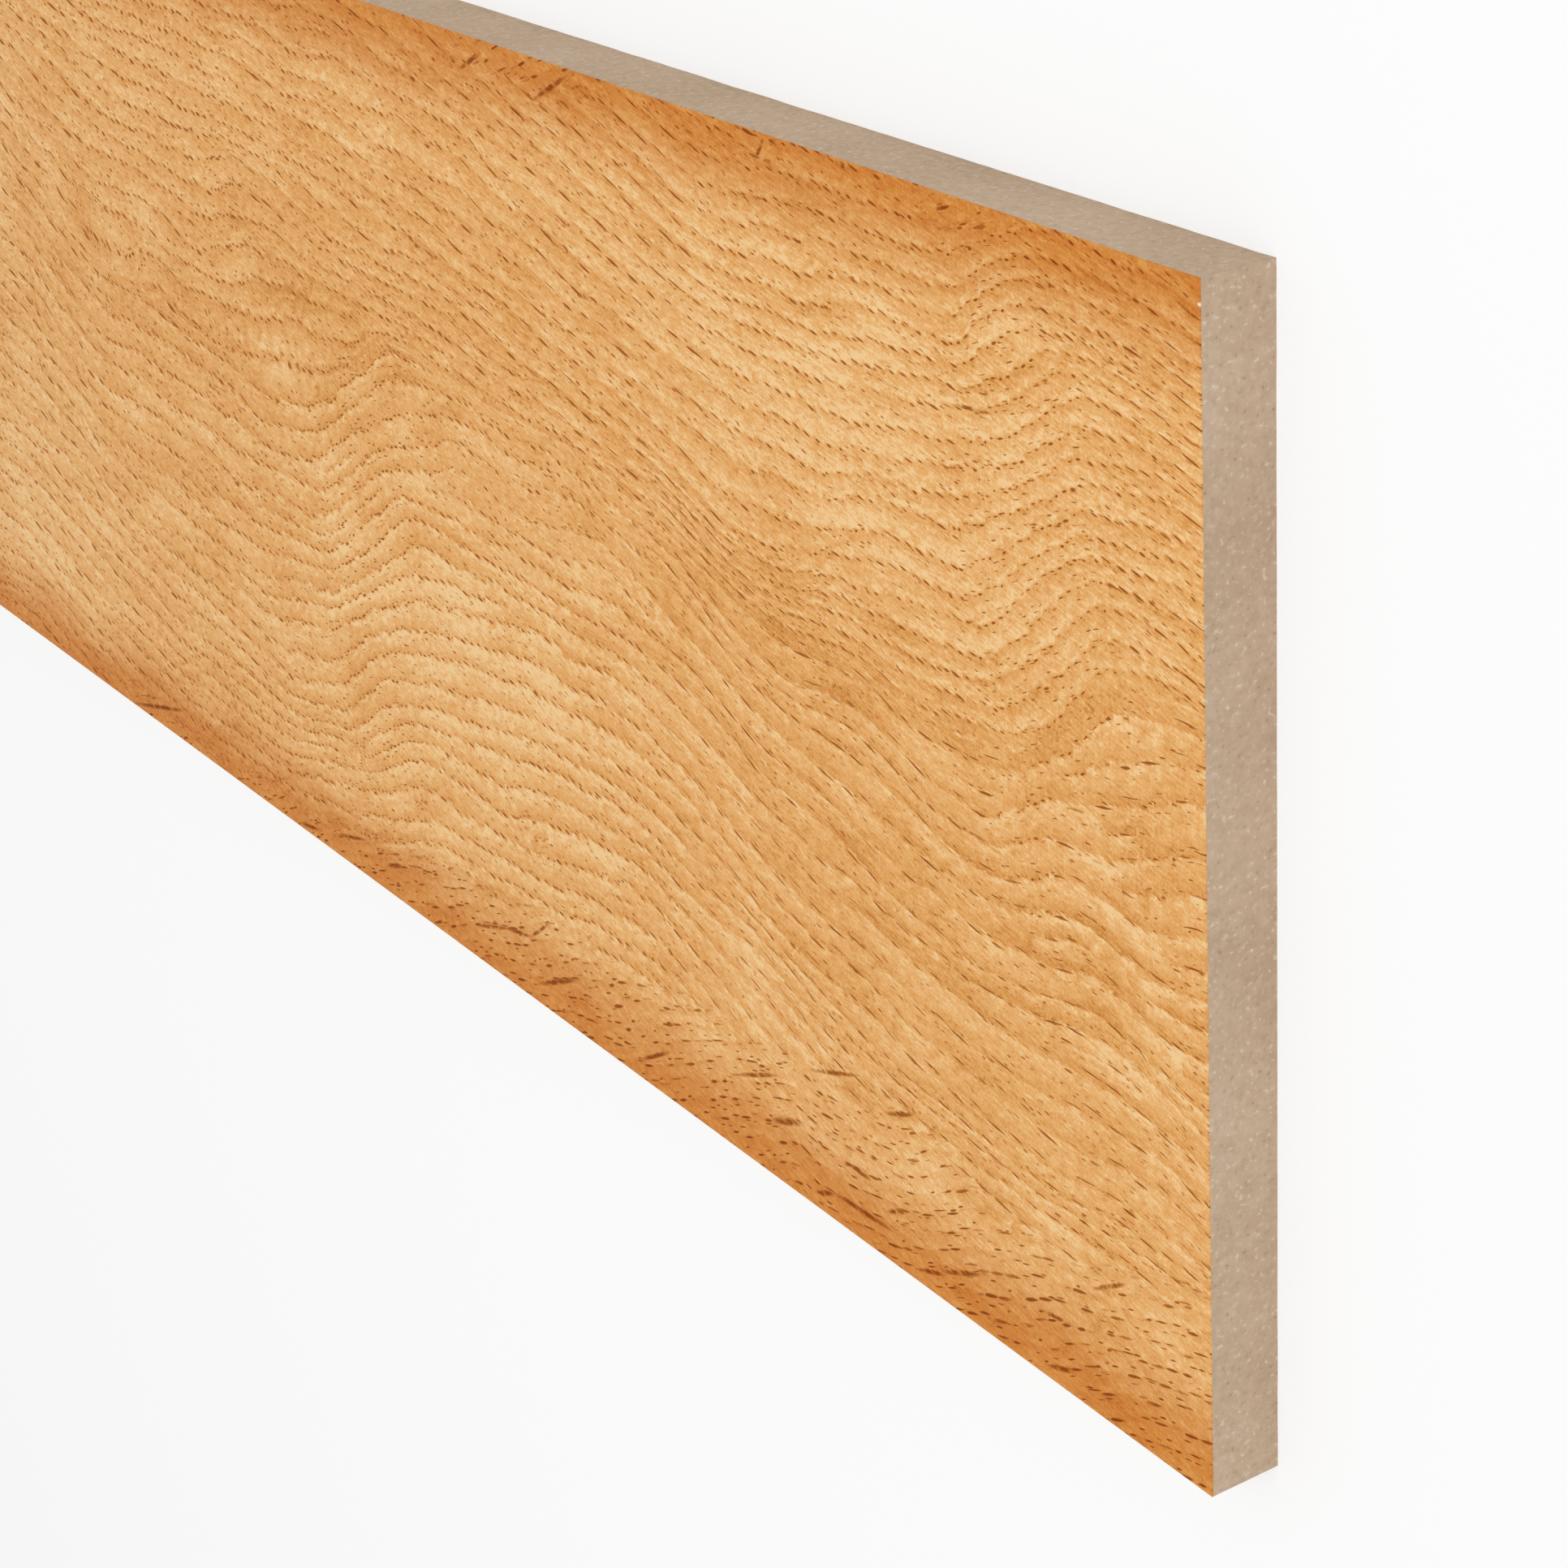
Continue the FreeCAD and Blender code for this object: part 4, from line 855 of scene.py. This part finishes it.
# Single strokes, scratches and the chip are long ovals. Each takes the one before it as its third number,
# which is scaled away, so that they are worked out one after another.
HAIR_FAINTER = 0.8
MARK_SWAY = 0.8  # mm by which the fibres shift a mark
FAR_OFF = 1.0e6  # leaves the third number out of account
NO_MARK = 9.0  # ovals away, where there is no mark yet
MARKS = {"strokes": (STROKES, 0.5, 1.4), "scratches": (SCRATCHES, 0.3, 1.2), "chips": (CHIPS, 0.7, 1.2)}
WORN_TONGUE, FULL_TONGUE, LEAST_STROKE = 0.36, 0.52, 0.2  # a stroke is fainter where the tongues are dark
hair_ink = add_node(tree, "ShaderNodeMath", inked["hairs"], inked["hairlines"], operation="MAXIMUM")
hair_ink = add_node(tree, "ShaderNodeMath", hair_ink, HAIR_FAINTER, operation="MULTIPLY")
ink = add_node(tree, "ShaderNodeMath", inked["pores"], hair_ink, operation="MAXIMUM")
edge_ink = add_node(tree, "ShaderNodeMath", inked["edge pores"], inked["edge hairs"], operation="MAXIMUM")
ink = add_node(tree, "ShaderNodeMix", into={"Factor": drawn["edge_share"], "A": ink, "B": edge_ink})
uneven = add_node(tree, "ShaderNodeMath", fibre, MARK_SWAY, up_mm, operation="MULTIPLY_ADD")
uneven = add_node(tree, "ShaderNodeMath", uneven, MARK_SWAY / 2, operation="SUBTRACT")
marked = {}
for name, (lines, full, gone) in MARKS.items():
    nearest_mark = NO_MARK
    for start_x, start_y, end_x, end_y, half_width in lines:
        length, height = end_x - start_x, start_y - end_y
        middle_x = film_high.x / MM + (start_x + end_x) / 2
        middle_y = film_high.y / MM - (start_y + end_y) / 2
        on_face = add_node(tree, "ShaderNodeCombineXYZ", across_mm, uneven, nearest_mark)
        mark = add_node(tree, "ShaderNodeMapping", on_face, vector_type="TEXTURE", into={
            "Location": (middle_x, middle_y, 0.0),
            "Rotation": (0.0, 0.0, np.arctan2(height, length)),
            "Scale": (np.hypot(length, height) / 2, half_width, FAR_OFF)})
        mark = add_node(tree, "ShaderNodeVectorMath", mark, operation="LENGTH").outputs["Value"]
        nearest_mark = add_node(tree, "ShaderNodeMath", nearest_mark, mark, operation="MINIMUM")
    marked[name] = add_node(tree, "ShaderNodeMapRange", nearest_mark, full, gone, 1.0, 0.0)
worn = add_node(tree, "ShaderNodeMapRange", tongue, WORN_TONGUE, FULL_TONGUE, LEAST_STROKE, 1.0)
stroke_ink = add_node(tree, "ShaderNodeMath", marked["strokes"], worn, operation="MULTIPLY")
ink = add_node(tree, "ShaderNodeMath", ink, stroke_ink, operation="MAXIMUM")

# All of these add up to how light the wood is, and its colour follows from that. The ink
# stains the paper round it, so a thin dash stays warm.
BLOTCH, BLOTCH_START = 2.6, -0.3  # how the tongues deepen the shading
START_LIGHT = -0.675  # sets the mean of the sum to the middle of the wood's colours
LIGHT_PARTS = [(tongue, 0.7), (drawn["tone"], 0.16), (fibre, 1.2), (speckle, 0.7), (comb, 0.4), (ink, -0.8),
               (marked["scratches"], 0.35)]
WOOD = [(0.0, "#bc7631"), (0.25, "#d08f47"), (0.5, "#dea25d"), (0.75, "#e6b171"), (1.0, "#eec78f")]
STAIN = 0.65  # how far the ink covers the wood
blotch = add_node(tree, "ShaderNodeMath", tongue, BLOTCH, BLOTCH_START, operation="MULTIPLY_ADD")
ring_depth = add_node(tree, "ShaderNodeMath", ring_depth, blotch, operation="MULTIPLY")
light = add_node(tree, "ShaderNodeMath", ring_light, 0.5, operation="SUBTRACT")
light = add_node(tree, "ShaderNodeMath", light, ring_depth, START_LIGHT, operation="MULTIPLY_ADD")
for part, weight in LIGHT_PARTS:
    light = add_node(tree, "ShaderNodeMath", part, weight, light, operation="MULTIPLY_ADD")
wood = add_node(tree, "ShaderNodeValToRGB", light)
stops = wood.color_ramp.elements
for step, (stop, colour) in zip(stops, (WOOD[0], WOOD[-1])):
    step.position, step.color = stop, linear(colour)
for stop, colour in WOOD[1:-1]:
    stops.new(stop).color = linear(colour)
stain = add_node(tree, "ShaderNodeMath", ink, STAIN, operation="MULTIPLY")
printed = add_node(tree, "ShaderNodeMixRGB", stain, wood, linear("#7c3502"))

# The long edges are burnished darker, bare paper shows at the chip, and the pores are pressed in a little.
BURNISH = 19.0  # mm from the edge
SATIN, DULL_INK = 0.45, 0.2  # roughness of the resin, and what the ink adds
PORE_DEPTH = 0.05 * MM
off_middle = add_node(tree, "ShaderNodeMath", up_mm, operation="ABSOLUTE")
from_edge = add_node(tree, "ShaderNodeMath", HALF_HEIGHT, off_middle, operation="SUBTRACT")
from_edge = add_node(tree, "ShaderNodeMath", from_edge, drawn["ragged"], operation="ADD")
burnish = add_node(tree, "ShaderNodeMapRange", from_edge, 0.0, BURNISH, 1.0, 0.0,
                   interpolation_type="SMOOTHSTEP")
burnished = add_node(tree, "ShaderNodeMixRGB", burnish, printed, linear("#e7c490"), blend_type="MULTIPLY")
chipped = add_node(tree, "ShaderNodeMixRGB", marked["chips"], burnished, linear("#e8dccb"))
tree.links.new(chipped.outputs[0], shader.inputs["Base Color"])
satin = add_node(tree, "ShaderNodeMath", ink, DULL_INK, SATIN, operation="MULTIPLY_ADD")
tree.links.new(satin.outputs[0], shader.inputs["Roughness"])
bump = add_node(tree, "ShaderNodeBump", invert=True, into={
    "Height": ink, "Strength": 0.15, "Distance": PORE_DEPTH})
tree.links.new(bump.outputs[0], shader.inputs["Normal"])
film_mesh.materials.append(oak_print)
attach(decor_film, "root")
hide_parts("decor_film")

# Studio floor
# A plain white sweep of painted board that the riser lies on. It is not part of the object.
# It glows for the camera and in reflections, which makes it white, and it keeps the board's shadow.
FLOOR_HALF = 4.0  # m
FLOOR_GLOW = 0.6  # share of plain white in that
floor_corners = [(-FLOOR_HALF, -FLOOR_HALF, 0), (FLOOR_HALF, -FLOOR_HALF, 0),
                 (FLOOR_HALF, FLOOR_HALF, 0), (-FLOOR_HALF, FLOOR_HALF, 0)]
floor_mesh = bpy.data.meshes.new("studio_floor")
floor_mesh.from_pydata(floor_corners, [], [(0, 1, 2, 3)])
floor = bpy.data.objects.new("studio_floor", floor_mesh)
bpy.context.collection.objects.link(floor)
# Matt white floor paint: even and dull, with no gloss to mirror the board.
white_paint = bpy.data.materials.new("white floor paint")
white_paint.use_nodes = True
tree = white_paint.node_tree
shader = tree.nodes["Principled BSDF"]
shader.inputs["Base Color"].default_value = linear("#f4f4f4")
shader.inputs["Roughness"].default_value = 0.9
shader.inputs["Specular IOR Level"].default_value = 0.0
glow = add_node(tree, "ShaderNodeEmission", linear("#ffffff"), 1.0)
rays = add_node(tree, "ShaderNodeLightPath").outputs
looked_at = rays["Is Camera Ray"]
for name in ("Is Glossy Ray", "Is Transmission Ray"):
    looked_at = add_node(tree, "ShaderNodeMath", looked_at, rays[name], operation="MAXIMUM")
lifted = add_node(tree, "ShaderNodeMath", looked_at, FLOOR_GLOW, operation="MULTIPLY")
surface = add_node(tree, "ShaderNodeMixShader", lifted, shader, glow)
tree.links.new(surface.outputs[0], tree.nodes["Material Output"].inputs["Surface"])
floor_mesh.materials.append(white_paint)

# Studio light
# A white room that lights from all sides, and one large soft lamp above the near end.
# The lamp leaves the end and the top edge a little darker than the face.
ROOM_STRENGTH = 0.7
LAMP_SIZE, LAMP_WATTS = 1.6, 16.0  # m, W
LAMP_AT, LAMP_AIM = Vector((1.25, 0.45, 1.7)), Vector((0.3, 0.0, 0.0))  # m
world = bpy.data.worlds.new("white studio")
bpy.context.scene.world = world
world.use_nodes = True
room_light = world.node_tree.nodes["Background"]
room_light.inputs["Color"].default_value = linear("#ffffff")
room_light.inputs["Strength"].default_value = ROOM_STRENGTH
lamp_data = bpy.data.lights.new("soft lamp", "AREA")
lamp_data.shape = "SQUARE"
lamp_data.size = LAMP_SIZE
lamp_data.energy = LAMP_WATTS
lamp = bpy.data.objects.new("soft lamp", lamp_data)
lamp.location = LAMP_AT
lamp.rotation_euler = (LAMP_AIM - LAMP_AT).to_track_quat("-Z", "Y").to_euler()
bpy.context.collection.objects.link(lamp)

# Camera
# It stands above the near end and looks down along the board, rolled so that the riser's top edge is up.
# Its place, turn and lens were fitted to the board's straight edges.
CAMERA_AT = (0.93805, 0.22861, 0.29215)  # m
CAMERA_TURN = (-29.842, 56.351, -6.069)  # degrees
camera_data = bpy.data.cameras.new("camera")
camera_data.lens = 82.35
camera_data.sensor_width = 36.0
camera_data.clip_start = 0.01
camera = bpy.data.objects.new("camera", camera_data)
camera.location = CAMERA_AT
camera.rotation_euler = Euler([np.radians(angle) for angle in CAMERA_TURN])
bpy.context.collection.objects.link(camera)
bpy.context.scene.camera = camera
bpy.context.scene.view_settings.view_transform = "Standard"
